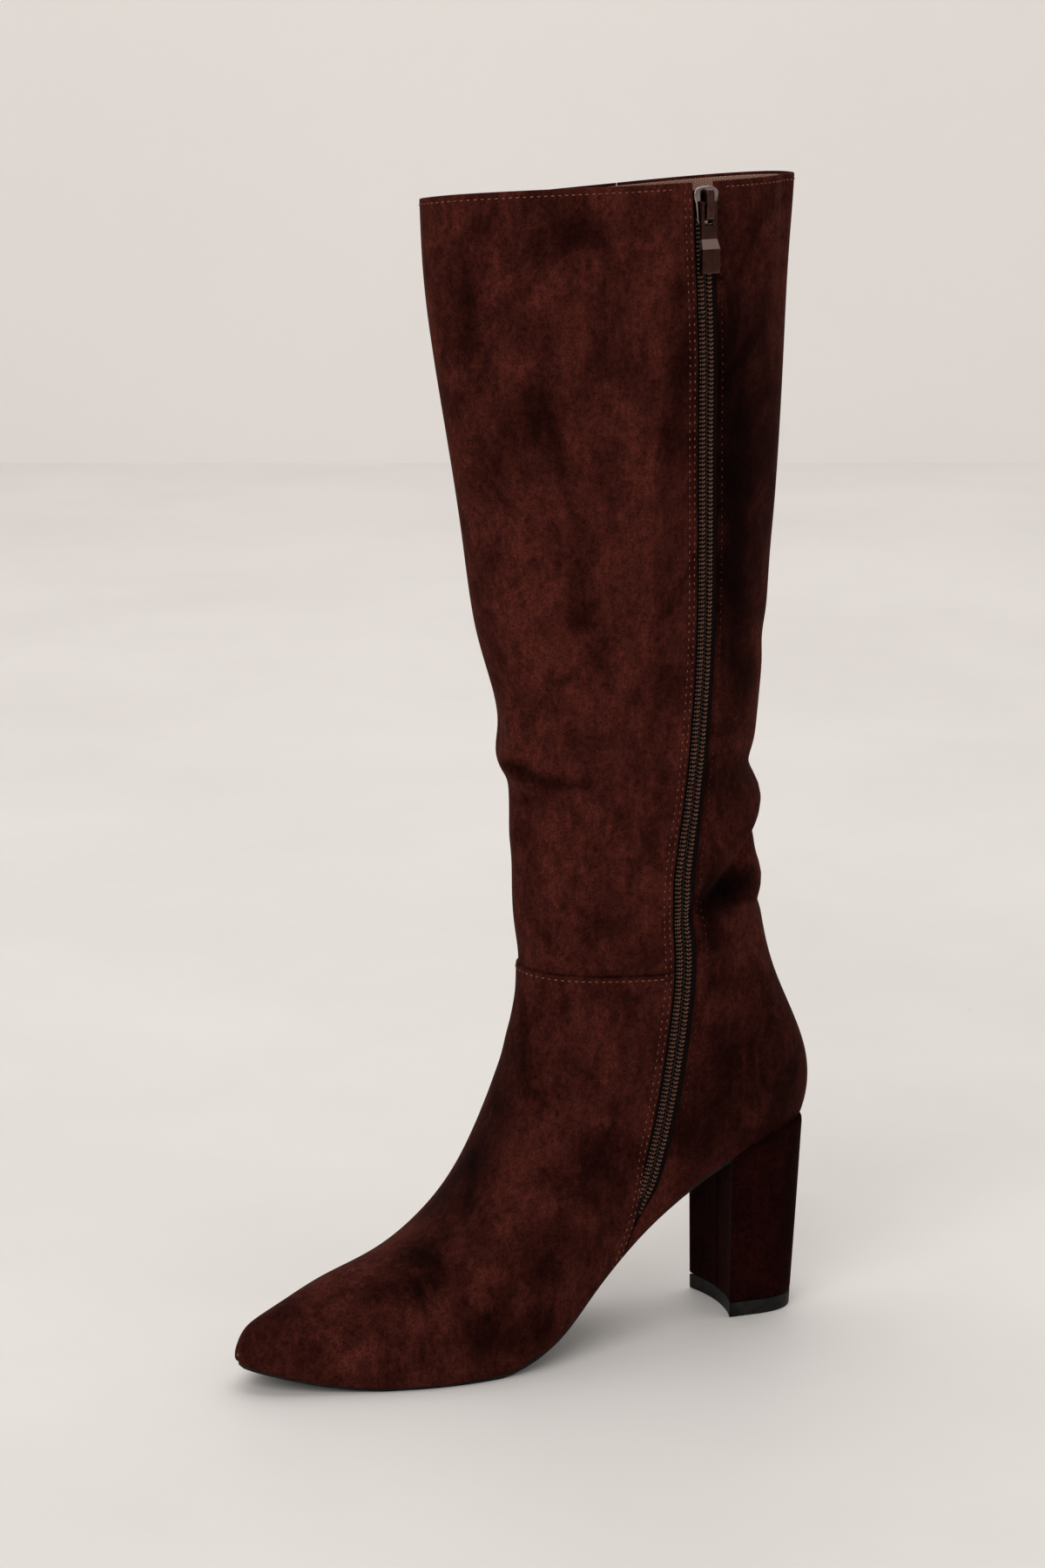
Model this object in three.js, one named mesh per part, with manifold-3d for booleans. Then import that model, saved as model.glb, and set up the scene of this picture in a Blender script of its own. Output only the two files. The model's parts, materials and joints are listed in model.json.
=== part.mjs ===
// Knee-high suede boot for the right foot: block heel, pointed toe, zip along the inner side.
// Millimetres, +Z up. Shapes are worked out in the boot's own terms: s is the distance forward
// from the rear of the heel, z the height above the floor, and y the side (inner side negative).
// In the model x = -s, so the toe points to -X. The last lines move the origin to the middle of the base.
import * as THREE from 'three';
import { mergeVertices } from 'three/addons/utils/BufferGeometryUtils.js';
import Module from 'manifold-3d';

const wasm = await Module();
wasm.setup();

// ---- driving dimensions ---------------------------------------------------------------------
const LENGTH = 246;           // rear of the heel to the tip of the toe
const BALL_WIDTH = 84;        // outside, across the ball of the foot
const INSTEP_HEIGHT = 134;    // floor to the bend between foot and leg, at the front
const BOOT_HEIGHT = 451;      // floor to the collar, at the back
const HEEL_HEIGHT = 76.7;     // floor to the underside of the seat, at the rear
const TOE_SWING = 6;          // how far the toe tip leans to the inner side
const HEEL_SWING = 2;         // and how far the rear of the heel does
const WALL = 1.8;             // suede and lining together
const GAP = 0.3;              // between pieces that meet
const SOLE_THICKNESS = 3;
const SOLE_INSET = 0.8;       // the sole's edge lies this far inside the upper's
const INSOLE_THICKNESS = 2.5;

const AROUND = 36;            // points round each section
const COLLAR_SPARE = 14;      // how far the inner form runs on above the collar

// ---- tables, in shares of the driving dimensions ---------------------------------------------
// Sections from toe to collar. Each is a slanted ring with a front (upper) end and a back (lower) end.
// In the foot the lower ends run on below the sole, which trims them to the feather edge.
// frontS, backS: share of LENGTH. frontUp, backUp: 0 floor, 1 INSTEP_HEIGHT, 2 BOOT_HEIGHT.
// inner, outer: half-widths, share of BALL_WIDTH. widest: where, from front to back.
// boxy: power of the back half.
const SECTIONS = [
  // frontS, frontUp, backS, backUp, inner, outer, widest, boxy
  [1.000, 0.107, 1.000, 0.107, 0.000, 0.000, 0.50, 2.2],
  [0.991, 0.146, 0.994, 0.047, 0.062, 0.067, 0.58, 2.2],
  [0.976, 0.181, 0.980, -0.010, 0.115, 0.125, 0.62, 2.3],
  [0.945, 0.208, 0.951, -0.045, 0.175, 0.190, 0.64, 2.4],
  [0.892, 0.241, 0.898, -0.075, 0.250, 0.280, 0.66, 2.4],
  [0.813, 0.285, 0.825, -0.095, 0.352, 0.380, 0.68, 2.4],
  [0.700, 0.343, 0.732, -0.110, 0.465, 0.475, 0.70, 2.4],
  [0.602, 0.484, 0.622, -0.105, 0.512, 0.500, 0.70, 2.4],
  [0.552, 0.662, 0.500, -0.045, 0.497, 0.465, 0.69, 2.4],
  [0.520, 0.836, 0.395, 0.085, 0.412, 0.420, 0.66, 2.4],
  [0.502, 0.995, 0.265, 0.205, 0.357, 0.380, 0.62, 2.3],
  [0.496, 1.057, 0.155, 0.360, 0.350, 0.370, 0.58, 2.2],
  [0.505, 1.117, 0.030, 0.500, 0.350, 0.370, 0.54, 2.1],
  [0.507, 1.177, -0.006, 0.745, 0.350, 0.370, 0.50, 2.1],
  [0.508, 1.237, 0.056, 1.012, 0.357, 0.370, 0.50, 2.1],
  [0.522, 1.303, 0.090, 1.135, 0.363, 0.375, 0.50, 2.1],
  [0.535, 1.382, 0.100, 1.262, 0.370, 0.380, 0.50, 2.1],
  [0.568, 1.470, 0.088, 1.388, 0.380, 0.393, 0.50, 2.1],
  [0.592, 1.587, 0.073, 1.540, 0.400, 0.405, 0.50, 2.1],
  [0.621, 1.720, 0.060, 1.707, 0.417, 0.423, 0.50, 2.1],
  [0.650, 1.855, 0.052, 1.865, 0.429, 0.435, 0.50, 2.1],
  [0.660, 1.972, 0.045, 2.000, 0.435, 0.440, 0.50, 2.1],
];

// Underside of the sole: along (share of LENGTH), rise (share of HEEL_HEIGHT). Below zero it is cut flat.
const SOLE_LINE = [
  [-0.06, 1.060], [0.00, 1.000], [0.10, 0.910], [0.18, 0.828], [0.265, 0.705], [0.345, 0.548],
  [0.427, 0.335], [0.508, 0.140], [0.59, 0.016], [0.67, -0.006], [0.77, -0.004], [0.833, 0.010],
  [0.894, 0.040], [0.955, 0.088], [1.02, 0.136],
];

// Middle of the zip, seen from the side: up (share of BOOT_HEIGHT), along (share of LENGTH).
const ZIP_LINE = [
  [0.112, 0.357], [0.17, 0.325], [0.25, 0.296], [0.34, 0.276], [0.45, 0.265],
  [0.60, 0.256], [0.75, 0.251], [0.87, 0.249], [1.00, 0.263],
];

// Slouch folds of the ankle: round (degrees from the front by the inner side), up (mm), climb (mm per 90
// degrees), reach (degrees), breadth (mm), swell (mm, outwards).
const FOLDS = [
  [6, 230, -10, 42, 10, 3.0],
  [24, 215, -16, 46, 7, -2.8],
  [10, 200, -8, 45, 9, 1.4],
  [168, 223, 8, 42, 7, -2.4],
  [168, 209, 22, 48, 9, 3.0],
  [150, 190, 32, 48, 6, -2.4],
  [162, 175, 24, 42, 7, 1.5],
];

// The collar's height round the boot (mm): steady, then by the cosine and sine of the turn,
// and of twice the turn.
const COLLAR_LEAN = [1.1, 1.9, 3.0, 0.5, 0.8];
const LEAN_SECTIONS = 3;      // over how many sections below the collar the lean fades out

// ---- splines ----------------------------------------------------------------------------------
// A natural cubic spline through the rows of a table; value(t) gives the row at t, counted in rows.
function spline(rows) {
  const last = rows.length - 1;
  const bends = rows[0].map((_, column) => {
    const second = new Array(rows.length).fill(0);
    const gain = new Array(rows.length).fill(0);
    for (let i = 1; i < last; i++) {
      const jump = 6 * (rows[i - 1][column] - 2 * rows[i][column] + rows[i + 1][column]);
      const pivot = 4 - gain[i - 1];
      gain[i] = 1 / pivot;
      second[i] = (jump - second[i - 1]) / pivot;
    }
    for (let i = last - 1; i > 0; i--) second[i] -= gain[i] * second[i + 1];
    return second;
  });
  return (t) => {
    const i = Math.min(Math.max(Math.floor(t), 0), last - 1);
    const b = t - i;
    const a = 1 - b;
    return rows[i].map((value, column) => a * value + b * rows[i + 1][column]
      + ((a ** 3 - a) * bends[column][i] + (b ** 3 - b) * bends[column][i + 1]) / 6);
  };
}

function sampled(curve, spans, perSpan) {
  return Array.from({ length: spans * perSpan + 1 }, (_, i) => curve(i / perSpan));
}

const smooth = (u) => {
  const v = THREE.MathUtils.clamp(u, 0, 1);
  return v * v * (3 - 2 * v);
};

// ---- the boot's outer form ----------------------------------------------------------------------
const SHAFT = BOOT_HEIGHT - INSTEP_HEIGHT;
const height = (up) => (up <= 1 ? up * INSTEP_HEIGHT : INSTEP_HEIGHT + (up - 1) * SHAFT);

const sectionRows = SECTIONS.map(([frontS, frontUp, backS, backUp, inner, outer, widest, boxy]) => [
  frontS * LENGTH, height(frontUp), backS * LENGTH, height(backUp),
  inner * BALL_WIDTH, outer * BALL_WIDTH, widest, boxy,
]);
// The section after the tip, turned over and put before it, makes the tip round.
const [frontS1, frontZ1, backS1, backZ1, inner1, outer1, widest1, boxy1] = sectionRows[1];
const beforeTip = [backS1, backZ1, frontS1, frontZ1, -outer1, -inner1, 1 - widest1, boxy1];
const sectionAt = spline([beforeTip, ...sectionRows]);
const LAST = SECTIONS.length - 1;

const TOE_PART = 0.38;        // shares of the length over which the toe's and the heel's leans grow
const HEEL_PART = 0.18;

function swing(s) {
  const toe = smooth((s / LENGTH - 1 + TOE_PART) / TOE_PART);
  const heel = smooth(1 - s / LENGTH / HEEL_PART);
  return -TOE_SWING * toe - HEEL_SWING * heel;
}

function collarLean(t, turn) {
  const [steady, cos, sin, cosTwice, sinTwice] = COLLAR_LEAN;
  const lean = steady + cos * Math.cos(turn) + sin * Math.sin(turn)
    + cosTwice * Math.cos(2 * turn) + sinTwice * Math.sin(2 * turn);
  return lean * smooth((t - LAST + LEAN_SECTIONS) / LEAN_SECTIONS);
}

// A point of the form: t counts sections from the tip, turn goes round from the front by the inner side.
function formPoint(t, turn) {
  const [frontS, frontZ, backS, backZ, inner, outer, widest, boxy] = sectionAt(t + 1);
  const c = Math.cos(turn);
  const n = Math.sin(turn);
  const power = 2 / (c > 0 ? 2 : boxy);
  const reach = Math.abs(c) ** power;
  const share = c > 0 ? widest * (1 - reach) : widest + (1 - widest) * reach;
  const side = (n >= 0 ? inner : outer) * Math.sign(n) * Math.abs(n) ** power;
  const s = frontS + (backS - frontS) * share;
  return new THREE.Vector3(-s, swing(s) - side, frontZ + (backZ - frontZ) * share + collarLean(t, turn));
}

function formNormal(t, turn) {
  const step = 1e-3;
  const along = formPoint(t + step, turn).sub(formPoint(t - step, turn));
  const round = formPoint(t, turn + step).sub(formPoint(t, turn - step));
  return round.cross(along).normalize();
}

function foldSwell(turn, z) {
  return FOLDS.reduce((sum, [round, up, climb, reach, breadth, swell]) => {
    const away = THREE.MathUtils.euclideanModulo(THREE.MathUtils.radToDeg(turn) - round + 180, 360) - 180;
    const off = (z - up - climb * away / 90) / breadth;
    return sum + swell * Math.exp(-off * off - (away / reach) ** 2);
  }, 0);
}

function skinPoint(t, turn, inset) {
  const point = formPoint(t, turn);
  return point.addScaledVector(formNormal(t, turn), foldSwell(turn, point.z) - inset);
}

// ---- solids -------------------------------------------------------------------------------------
function toSolid(geometry) {
  const plain = geometry.clone();
  plain.deleteAttribute('normal');
  plain.deleteAttribute('uv');
  const merged = mergeVertices(plain, 1e-5);
  return new wasm.Manifold(new wasm.Mesh({
    numProp: 3,
    vertProperties: new Float32Array(merged.attributes.position.array),
    triVerts: new Uint32Array(merged.index.array),
  }));
}

function toGeometry(solid) {
  const { vertProperties, triVerts } = solid.getMesh();
  const geometry = new THREE.BufferGeometry();
  geometry.setAttribute('position', new THREE.BufferAttribute(new Float32Array(vertProperties), 3));
  geometry.setIndex(new THREE.BufferAttribute(new Uint32Array(triVerts), 1));
  return geometry;
}

// Skin rings joined into one closed body, with a point or a fan of triangles at each end.
function loft(rings, startPoint, endPoint) {
  const points = [startPoint, ...rings.flat(), endPoint];
  const count = rings[0].length;
  const faces = [];
  const at = (ring, i) => 1 + ring * count + (i % count);
  for (let i = 0; i < count; i++) {
    faces.push(0, at(0, i + 1), at(0, i));
    faces.push(points.length - 1, at(rings.length - 1, i), at(rings.length - 1, i + 1));
    for (let ring = 0; ring < rings.length - 1; ring++) {
      faces.push(at(ring, i), at(ring, i + 1), at(ring + 1, i));
      faces.push(at(ring, i + 1), at(ring + 1, i + 1), at(ring + 1, i));
    }
  }
  const geometry = new THREE.BufferGeometry();
  const numbers = points.flatMap((p) => p.toArray());
  geometry.setAttribute('position', new THREE.Float32BufferAttribute(numbers, 3));
  geometry.setIndex(faces);
  return toSolid(geometry);
}

const middle = (ring) => ring.reduce((sum, p) => sum.add(p), new THREE.Vector3()).divideScalar(ring.length);

// The whole form, shrunk by inset; spare lifts its top above the collar.
const RING_STEPS = [0.15, 0.4, 0.7];
for (let t = 1; t <= LAST; t += 0.5) RING_STEPS.push(t);

function form(inset, spare = 0) {
  const turns = Array.from({ length: AROUND }, (_, i) => (2 * Math.PI * i) / AROUND);
  const rings = RING_STEPS.map((t) => turns.map((turn) => skinPoint(t, turn, inset)));
  if (spare > 0) rings.push(rings.at(-1).map((p) => p.clone().setZ(p.z + spare)));
  const tip = formPoint(0, 0).add(new THREE.Vector3(inset, 0, 0));
  return loft(rings, tip, middle(rings.at(-1)));
}

// A flat outline in s and z, drawn out across the boot from y = low to y = high.
function prism(outline, low = -BALL_WIDTH, high = BALL_WIDTH) {
  const shape = new THREE.Shape(outline.map(([s, z]) => new THREE.Vector2(-s, z)));
  const geometry = new THREE.ExtrudeGeometry(shape, { depth: high - low, bevelEnabled: false });
  return toSolid(geometry.rotateX(Math.PI / 2).translate(0, high, 0));
}

// ---- the sole's lines -----------------------------------------------------------------------------
const soleCurve = spline(SOLE_LINE.map(([along, rise]) => [along * LENGTH, rise * HEEL_HEIGHT]));
const soleUnder = sampled(soleCurve, SOLE_LINE.length - 1, 4).map(([s, z]) => [s, Math.max(0, z)]);
const SEAT = SOLE_THICKNESS + GAP;    // from the sole's underside up to the upper's feather edge

// The space between two heights above the sole's underside.
function slab(low, high) {
  const top = soleUnder.map(([s, z]) => [s, z + high]);
  const bottom = soleUnder.map(([s, z]) => [s, z + low]);
  return prism([...bottom, ...top.reverse()]);
}

function aboveSole(rise) {
  const ceiling = BOOT_HEIGHT + 2 * COLLAR_SPARE;
  const line = soleUnder.map(([s, z]) => [s, z + rise]);
  return prism([...line, [line.at(-1)[0], ceiling], [line[0][0], ceiling]]);
}

// ---- the heel ---------------------------------------------------------------------------------------
const HEEL_TOP_PIECE = 6;
const HEEL_BREAST = 38;          // s of the breast, midway between its corners
const HEEL_TURN = THREE.MathUtils.degToRad(4.8);   // in plan: the inner corner lies further forward
const BREAST_HOLLOW = 3.2;       // how far the breast curves in between its corners
const HEEL_SHOULDER = 0.62;      // share of the heel's length, from the rear, where its round back starts
const HEEL_LEVELS = [
  // z, rear s, half-width at the breast
  [0, 6.2, 19.4],
  [HEEL_TOP_PIECE, 5.8, 19.6],
  [40, 3.8, 20.6],
  [HEEL_HEIGHT + 8, 1.6, 22.6],
];

// D-shaped outline: a hollow breast, short straight sides and a round back.
function heelOutline(rear, half, grow = 0) {
  const front = HEEL_BREAST + grow;
  const breastPoints = 6;
  const backPoints = 18;
  const points = [];
  for (let i = 0; i <= breastPoints; i++) {
    const u = (2 * i) / breastPoints - 1;
    points.push([front - BREAST_HOLLOW * (1 - u * u), u * (half + grow)]);
  }
  const shoulder = rear + HEEL_SHOULDER * (front - rear);
  for (let i = 0; i <= backPoints; i++) {
    const turn = (Math.PI * i) / backPoints;
    const across = Math.sign(Math.cos(turn)) * Math.abs(Math.cos(turn)) ** 0.72;
    const back = shoulder - (shoulder - rear + grow) * Math.sin(turn) ** 0.86;
    points.push([back, across * (half + grow) * 1.012]);
  }
  const c = Math.cos(HEEL_TURN);
  const n = Math.sin(HEEL_TURN);
  return points.map(([s, y]) => [s - HEEL_BREAST, y])
    .map(([a, y]) => [HEEL_BREAST + a * c - y * n, y * c + a * n]);
}

function heelBlock(levels, grow = 0) {
  const rings = levels.map(([z, rear, half]) => heelOutline(rear, half, grow)
    .map(([s, y]) => new THREE.Vector3(-s, y, z)).reverse());
  return loft(rings, middle(rings[0]), middle(rings.at(-1)));
}

// ---- the zip ------------------------------------------------------------------------------------------
const SLOT_HALF = 4.9;
const COIL_HALF = 3.1;
const TAPE_WIDTH = 11.5;
const TAPE_THICKNESS = 0.8;
const COIL_SUNK = 0.5;           // below the suede's face
const ZIP_SIDE = -BALL_WIDTH;    // the cutting prisms run from here to the boot's middle

const zipCurve = spline(ZIP_LINE.map(([up, along]) => [along * LENGTH, up * BOOT_HEIGHT]));
const zipPath = sampled(zipCurve, ZIP_LINE.length - 1, 4);

// The strip of the side view between two distances from the zip's middle, forward positive,
// from bottomTrim above its lower end to the height top.
function zipStrip(low, high, bottomTrim, top) {
  const start = zipPath[0][1] + bottomTrim;
  const line = zipPath.filter(([, z]) => z > start + 1 && z < top - 1);
  const onPath = (z) => {
    const above = zipPath.findIndex((p) => p[1] >= z);
    const i = above < 0 ? zipPath.length - 1 : Math.max(above, 1);
    const [[s0, z0], [s1, z1]] = [zipPath[i - 1], zipPath[i]];
    return [s0 + ((s1 - s0) * (z - z0)) / (z1 - z0), z];
  };
  const points = [onPath(start), ...line, onPath(top)];
  const beside = (distance) => points.map(([s, z], i) => {
    const [sa, za] = points[Math.max(i - 1, 0)];
    const [sb, zb] = points[Math.min(i + 1, points.length - 1)];
    const size = Math.hypot(sb - sa, zb - za);
    return [s + (distance * (zb - za)) / size, z - (distance * (sb - sa)) / size];
  });
  return prism([...beside(low), ...beside(high).reverse()], ZIP_SIDE, 0);
}

function shell(outerInset, innerInset) {
  return form(outerInset, COLLAR_SPARE).subtract(form(innerInset, COLLAR_SPARE));
}

// ---- the pieces ----------------------------------------------------------------------------------------
const boot = new THREE.Group();

function material(color, roughness, metalness = 0) {
  return new THREE.MeshStandardMaterial({ color, roughness, metalness });
}

function addPiece(name, geometry, finish, parent = boot) {
  const mesh = new THREE.Mesh(geometry, finish);
  mesh.name = name;
  parent.add(mesh);
  return mesh;
}

const suede = material(0x3d1c17, 0.95);
const blackRubber = material(0x151312, 0.7);
const board = material(0x6b4a3a, 0.9);
const tapeCloth = material(0x24120f, 0.95);
const coilNylon = material(0x4a2c22, 0.5);
const gunmetal = material(0x8a8078, 0.3, 1);
const pullMetal = material(0x5d4a42, 0.4, 1);

const outside = form(0);
const hollow = form(WALL, COLLAR_SPARE);
const slotTop = BOOT_HEIGHT + COLLAR_SPARE;
const slot = zipStrip(-SLOT_HALF, SLOT_HALF, 0, slotTop);
addPiece('upper', toGeometry(outside.subtract(hollow).intersect(aboveSole(SEAT)).subtract(slot)), suede);

const sockSpace = form(WALL + GAP, COLLAR_SPARE);
addPiece('insole', toGeometry(sockSpace.intersect(slab(SEAT, SEAT + INSOLE_THICKNESS))), board);

// The sole ends against the heel's breast, and just behind its corners on either side.
const soleEnd = HEEL_BREAST - BREAST_HOLLOW;
const behindBreast = prism([
  [-LENGTH, 0], [soleEnd, 0], [soleEnd, 2 * HEEL_HEIGHT], [-LENGTH, 2 * HEEL_HEIGHT],
]);
const seatBlock = heelBlock(HEEL_LEVELS.slice(2), GAP).add(behindBreast);
const soleBody = form(SOLE_INSET).intersect(slab(0, SOLE_THICKNESS)).subtract(seatBlock);
addPiece('outsole', toGeometry(soleBody), blackRubber);

const heelBody = heelBlock([[HEEL_TOP_PIECE + GAP, ...HEEL_LEVELS[1].slice(1)], ...HEEL_LEVELS.slice(2)]);
addPiece('heel', toGeometry(heelBody.subtract(aboveSole(SOLE_THICKNESS))), suede);
addPiece('heel_top_piece', toGeometry(heelBlock(HEEL_LEVELS.slice(0, 2))), blackRubber);

const ZIP_DROP = 1.8;            // the zip's upper end lies this far below the collar's highest point
const COLLAR_AT_ZIP = BOOT_HEIGHT - ZIP_DROP;
const tapeTop = COLLAR_AT_ZIP - 1.5;
const tapeShell = shell(WALL + GAP, WALL + GAP + TAPE_THICKNESS)
  .intersect(aboveSole(SEAT + INSOLE_THICKNESS + GAP));
const halfGap = GAP / 2;
const tapeFront = tapeShell.intersect(zipStrip(halfGap, TAPE_WIDTH, 0, tapeTop));
const tapeBack = tapeShell.intersect(zipStrip(-TAPE_WIDTH, -halfGap, 0, tapeTop));
addPiece('zip_tape_front', toGeometry(tapeFront), tapeCloth);
addPiece('zip_tape_back', toGeometry(tapeBack), tapeCloth);

const STOP_LENGTH = 3;
const coilStart = STOP_LENGTH + GAP + 1;
const coilShell = shell(COIL_SUNK, WALL);
const coil = coilShell.intersect(zipStrip(-COIL_HALF, COIL_HALF, coilStart, tapeTop));
addPiece('zip_coil', toGeometry(coil), coilNylon);
const stopTop = zipPath[0][1] + 1 + STOP_LENGTH;
const bottomStop = coilShell.intersect(zipStrip(-COIL_HALF, COIL_HALF, 1, stopTop));
addPiece('zip_bottom_stop', toGeometry(bottomStop), gunmetal);

// ---- slider and pull ------------------------------------------------------------------------------------
// Built facing +Z with +Y up the zip, then stood up against the boot's inner side.
const SLIDER_UP = COLLAR_AT_ZIP - 7.2;
const SLIDER_LENGTH = 14;
const PLATE = 1.2;
const PLATE_LIFT = 0.45;         // the plate's back above the suede's face
const FLANGE = [3.6, 4.2];      // near and far face of each side flange, from the middle
const BRIDGE_WIDTH = 3.4;
const BRIDGE_METAL = 1.1;
const PIN_UP = 1.0;              // hinge line above the slider's middle
const PIN_OUT = 1.25;            // hinge line above the plate's face
const PULL_METAL = 1.2;
const PULL_LENGTH = 26;
const PULL_WIDTH = 7.2;
const WINDOW_HALF = 2.1;
const WINDOW_LOW = -7.2;

function extruded(outline, depth) {
  return new THREE.ExtrudeGeometry(new THREE.Shape(outline.map(([a, b]) => new THREE.Vector2(a, b))),
    { depth, bevelEnabled: false });
}

// An outline drawn in (up, out), drawn out across the zip and centred on it.
function acrossZip(outline, width) {
  const geometry = extruded(outline.map(([up, out]) => [out, up]), width);
  return toSolid(geometry.rotateY(-Math.PI / 2).translate(width / 2, 0, 0));
}

function sliderPlate() {
  const half = SLIDER_LENGTH / 2;
  const right = [[3.3, -half], [4.1, -half + 1.6], [4.5, 1.5], [4.6, 4.2], [3.4, half - 0.8], [1.6, half]];
  const left = right.map(([x, y]) => [-x, y]).reverse();
  return toSolid(extruded([...right, ...left], PLATE));
}

function sliderFlange(side) {
  const [near, far] = FLANGE;
  const depth = WALL + PLATE_LIFT - 0.3;
  const geometry = new THREE.BoxGeometry(far - near, 7, depth + 0.4);
  return toSolid(geometry.translate(side * (near + far) / 2, -0.5, 0.4 - (depth + 0.4) / 2));
}

function sliderBridge() {
  const outer = [[-5.6, 0.6], [-5.2, 2.6], [-3.8, 4.0], [4.6, 4.0], [6.0, 2.6], [6.4, 0.6]];
  const foot = outer[0][1];
  const inner = outer.map(([up, out]) => [up - Math.sign(up) * BRIDGE_METAL, Math.max(out - BRIDGE_METAL, foot)]);
  const arch = [...outer, ...inner.reverse()].map(([up, out]) => [up, out + PLATE - 0.6]);
  return acrossZip(arch, BRIDGE_WIDTH);
}

const slider = sliderPlate().add(sliderFlange(1)).add(sliderFlange(-1)).add(sliderBridge());

// The pull is drawn about its hinge line: a flat strip with a window, stepping out to a thicker tab.
function pullBody() {
  const half = PULL_METAL / 2;
  const back = [[-9.6, -half], [-12.4, 0.1], [-PULL_LENGTH + 0.4, 0.1]];
  const front = [
    [-PULL_LENGTH, 0.5], [-PULL_LENGTH, 1.7], [-PULL_LENGTH + 0.5, 2.1], [-13, 2.1], [-9.9, half + 0.1],
  ];
  const top = Array.from({ length: 7 }, (_, i) => {
    const turn = (Math.PI * i) / 6;
    return [half * Math.sin(turn), half * Math.cos(turn)];
  });
  const strip = acrossZip([...top, ...back, ...front], PULL_WIDTH);
  const windowTop = -half;
  const opening = new THREE.BoxGeometry(2 * WINDOW_HALF, windowTop - WINDOW_LOW, 12)
    .translate(0, (windowTop + WINDOW_LOW) / 2, 0);
  return strip.subtract(toSolid(opening));
}

// Where the slider sits on the skin: the zip's line at its height, found on the inner side.
function skinAt(s, z) {
  let t = LAST - 1;
  let turn = Math.PI / 2;
  for (let i = 0; i < 40; i++) {
    const point = skinPoint(t, turn, 0);
    t += (z - point.z) / 60;
    turn += (-s - point.x) / 80;
  }
  return { point: skinPoint(t, turn, 0), normal: formNormal(t, turn) };
}

const zipAtSlider = zipCurve(ZIP_LINE.length - 1.2)[0];
const seat = skinAt(zipAtSlider, SLIDER_UP);
const sliderFrame = new THREE.Group();
sliderFrame.position.copy(seat.point).addScaledVector(seat.normal.clone().setZ(0).normalize(), PLATE_LIFT);
sliderFrame.quaternion.setFromRotationMatrix(new THREE.Matrix4().makeBasis(
  new THREE.Vector3(-seat.normal.y, seat.normal.x, 0).normalize(),
  new THREE.Vector3(0, 0, 1),
  new THREE.Vector3(seat.normal.x, seat.normal.y, 0).normalize(),
));
boot.add(sliderFrame);
addPiece('zip_slider', toGeometry(slider), gunmetal, sliderFrame);
const pull = addPiece('zip_pull', toGeometry(pullBody()), pullMetal, sliderFrame);
pull.position.set(0, PIN_UP, PLATE + PIN_OUT);

// ---- origin at the middle of the base ----------------------------------------------------------------
boot.updateMatrixWorld(true);
const box = new THREE.Box3().setFromObject(boot, true);
const centre = box.getCenter(new THREE.Vector3());
boot.position.set(-centre.x, -centre.y, -box.min.z);

export default boot;
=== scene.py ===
"""Knee-high suede boot, right foot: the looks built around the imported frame."""
import json
import math

import bmesh
import bpy
import numpy as np
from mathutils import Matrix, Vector


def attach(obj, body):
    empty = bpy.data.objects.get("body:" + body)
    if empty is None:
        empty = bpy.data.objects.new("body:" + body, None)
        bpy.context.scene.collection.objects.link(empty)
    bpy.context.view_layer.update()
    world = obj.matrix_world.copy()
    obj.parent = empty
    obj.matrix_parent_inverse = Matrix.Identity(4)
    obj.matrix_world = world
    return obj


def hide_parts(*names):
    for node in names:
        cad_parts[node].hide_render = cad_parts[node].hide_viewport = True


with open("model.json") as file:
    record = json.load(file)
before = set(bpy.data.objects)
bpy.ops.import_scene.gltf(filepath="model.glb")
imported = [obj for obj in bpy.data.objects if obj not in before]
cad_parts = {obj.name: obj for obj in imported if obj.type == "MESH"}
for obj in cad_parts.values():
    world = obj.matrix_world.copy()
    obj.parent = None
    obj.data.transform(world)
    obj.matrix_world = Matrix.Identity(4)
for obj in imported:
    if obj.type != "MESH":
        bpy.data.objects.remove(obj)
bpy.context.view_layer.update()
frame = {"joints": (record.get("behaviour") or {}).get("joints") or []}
MM = 0.001

# ---- the boot's own sizes, in millimetres ------------------------------------------------------
# s runs forward from the rear of the heel, z up from the floor, y to the outer side.
LENGTH = 246.0
BALL_WIDTH = 84.0
INSTEP_HEIGHT = 134.0
BOOT_HEIGHT = 451.0
HEEL_HEIGHT = 76.7
TOE_SWING = 6.0
HEEL_SWING = 2.0
TOE_PART = 0.38            # shares of the length over which the toe's and the heel's leans grow
HEEL_PART = 0.18
SUEDE = 1.2                # the suede alone, without its lining
FEATHER_RISE = 1.2         # sole's underside up to the suede's lower edge, which hides the sole's upper part

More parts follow.
